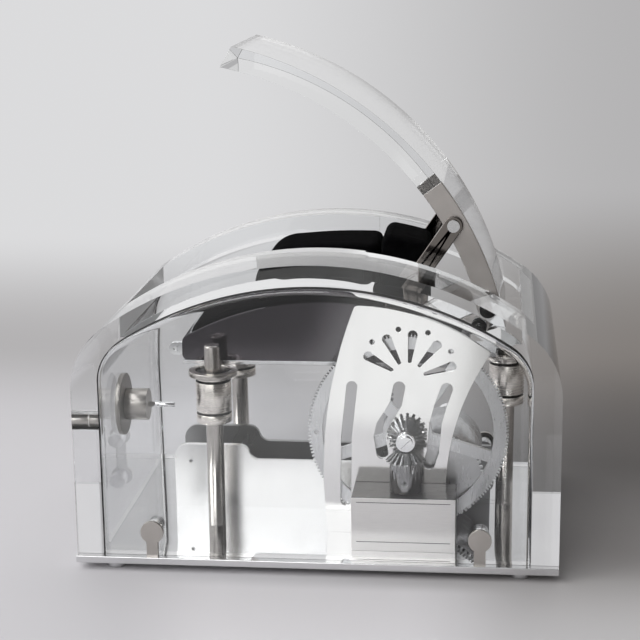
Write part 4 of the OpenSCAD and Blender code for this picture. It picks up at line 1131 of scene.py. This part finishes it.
def studio_world(scene):
    """Room round the box: bright behind and to the front left, dim overhead and to the front right."""
    world = bpy.data.worlds.new("studio_world")
    scene.world = world
    world.use_nodes = True
    tree = world.node_tree
    x, y, z = split(tree, tree.nodes.new("ShaderNodeTexCoord").outputs["Generated"])
    across = blend_value(tree, x, -0.35, 0.7)
    near_floor = blend_color(tree, across, (0.79, 0.785, 0.79), (0.54, 0.535, 0.53))
    middle = blend_color(tree, across, (0.73, 0.72, 0.725), (0.21, 0.205, 0.2))
    high = blend_color(tree, across, (1.0, 1.0, 1.0), (0.5, 0.49, 0.48))
    back = blend_color(tree, blend_value(tree, z, 0.25, 0.3), near_floor, middle)
    back = blend_color(tree, blend_value(tree, z, 0.37, 0.45), back, high)
    front = blend_color(tree, blend_value(tree, x, -0.04, 0.12), (1.0, 1.0, 1.0), (0.03, 0.028, 0.026))
    color = blend_color(tree, blend_value(tree, y, -0.3, 0.35), front, back)
    card = chained(tree, "MULTIPLY", [blend_value(tree, y, -0.75, -0.9), blend_value(tree, x, 0.0, -0.06),
                                      blend_value(tree, z, 0.45, 0.36)])
    color = blend_color(tree, card, color, (1.45, 1.44, 1.42))
    color = blend_color(tree, blend_value(tree, z, 0.45, 0.85), color, (0.22, 0.22, 0.225))
    background = tree.nodes["Background"]
    tree.links.new(color, background.inputs["Color"])
    background.inputs["Strength"].default_value = 1.0


def main_camera(scene):
    """Camera at the eye's place: turned to the side, then down, then rolled."""
    data = bpy.data.cameras.new("view_camera")
    data.sensor_width = FILM_W
    data.lens = LENS
    camera = bpy.data.objects.new("view_camera", data)
    bpy.context.collection.objects.link(camera)
    side = Matrix.Rotation(math.radians(EYE_SIDE), 4, "Z")
    down = Matrix.Rotation(math.radians(90 - EYE_DOWN), 4, "X")
    roll = Matrix.Rotation(math.radians(EYE_ROLL), 4, "Z")
    camera.matrix_world = Matrix.Translation(EYE) @ side @ down @ roll
    scene.camera = camera


class WATCHBOX_OT_stage(bpy.types.Operator):
    """Floor, lights and camera"""

    bl_idname = "watchbox.stage"
    bl_label = "Stage"

    def execute(self, context):
        h = FLOOR_HALF
        corners = [(-h, -h, 0), (h, -h, 0), (h, h, 0), (-h, h, 0)]
        floor = new_piece("studio_floor", corners, [(0, 1, 2, 3)], [studio_floor_paper()], 0)
        studio_world(context.scene)
        for lamp in LAMPS:
            area_light(*lamp)
        main_camera(context.scene)
        context.scene.view_settings.view_transform = "Standard"
        return {"FINISHED"}


# ---------------------------------------------------------------- add-on


SETTINGS = {
    "watchbox_crystal": WATCHBOX_PG_crystal,
    "watchbox_metal": WATCHBOX_PG_metal,
    "watchbox_soft": WATCHBOX_PG_soft,
    "watchbox_stage": WATCHBOX_PG_stage,
}
STEPS = [
    WATCHBOX_OT_stage, WATCHBOX_OT_stand, WATCHBOX_OT_columns, WATCHBOX_OT_plates, WATCHBOX_OT_train,
    WATCHBOX_OT_governor, WATCHBOX_OT_tray, WATCHBOX_OT_soft, WATCHBOX_OT_lid_work, WATCHBOX_OT_button,
    WATCHBOX_OT_crystal_case, WATCHBOX_OT_crystal_panels, WATCHBOX_OT_crystal_lid,
]


class WATCHBOX_PT_panel(bpy.types.Panel):
    """Lists the box's pieces and their settings"""

    bl_label = "Watch Box"
    bl_idname = "WATCHBOX_PT_panel"
    bl_space_type = "VIEW_3D"
    bl_region_type = "UI"
    bl_category = "Watch Box"

    def draw(self, context):
        layout = self.layout
        for key, group in SETTINGS.items():
            box = layout.box()
            for prop in group.__annotations__:
                box.prop(getattr(context.scene, key), prop)
        for step in STEPS:
            layout.operator(step.bl_idname)


def register():
    for cls in (*SETTINGS.values(), *STEPS, WATCHBOX_PT_panel):
        bpy.utils.register_class(cls)
    for key, group in SETTINGS.items():
        setattr(bpy.types.Scene, key, PointerProperty(type=group))


def unregister():
    for key in SETTINGS:
        delattr(bpy.types.Scene, key)
    for cls in reversed((*SETTINGS.values(), *STEPS, WATCHBOX_PT_panel)):
        bpy.utils.unregister_class(cls)


def main():
    register()
    for step in STEPS:
        group, name = step.bl_idname.split(".")
        getattr(getattr(bpy.ops, group), name)()


if __name__ == "__main__":
    main()
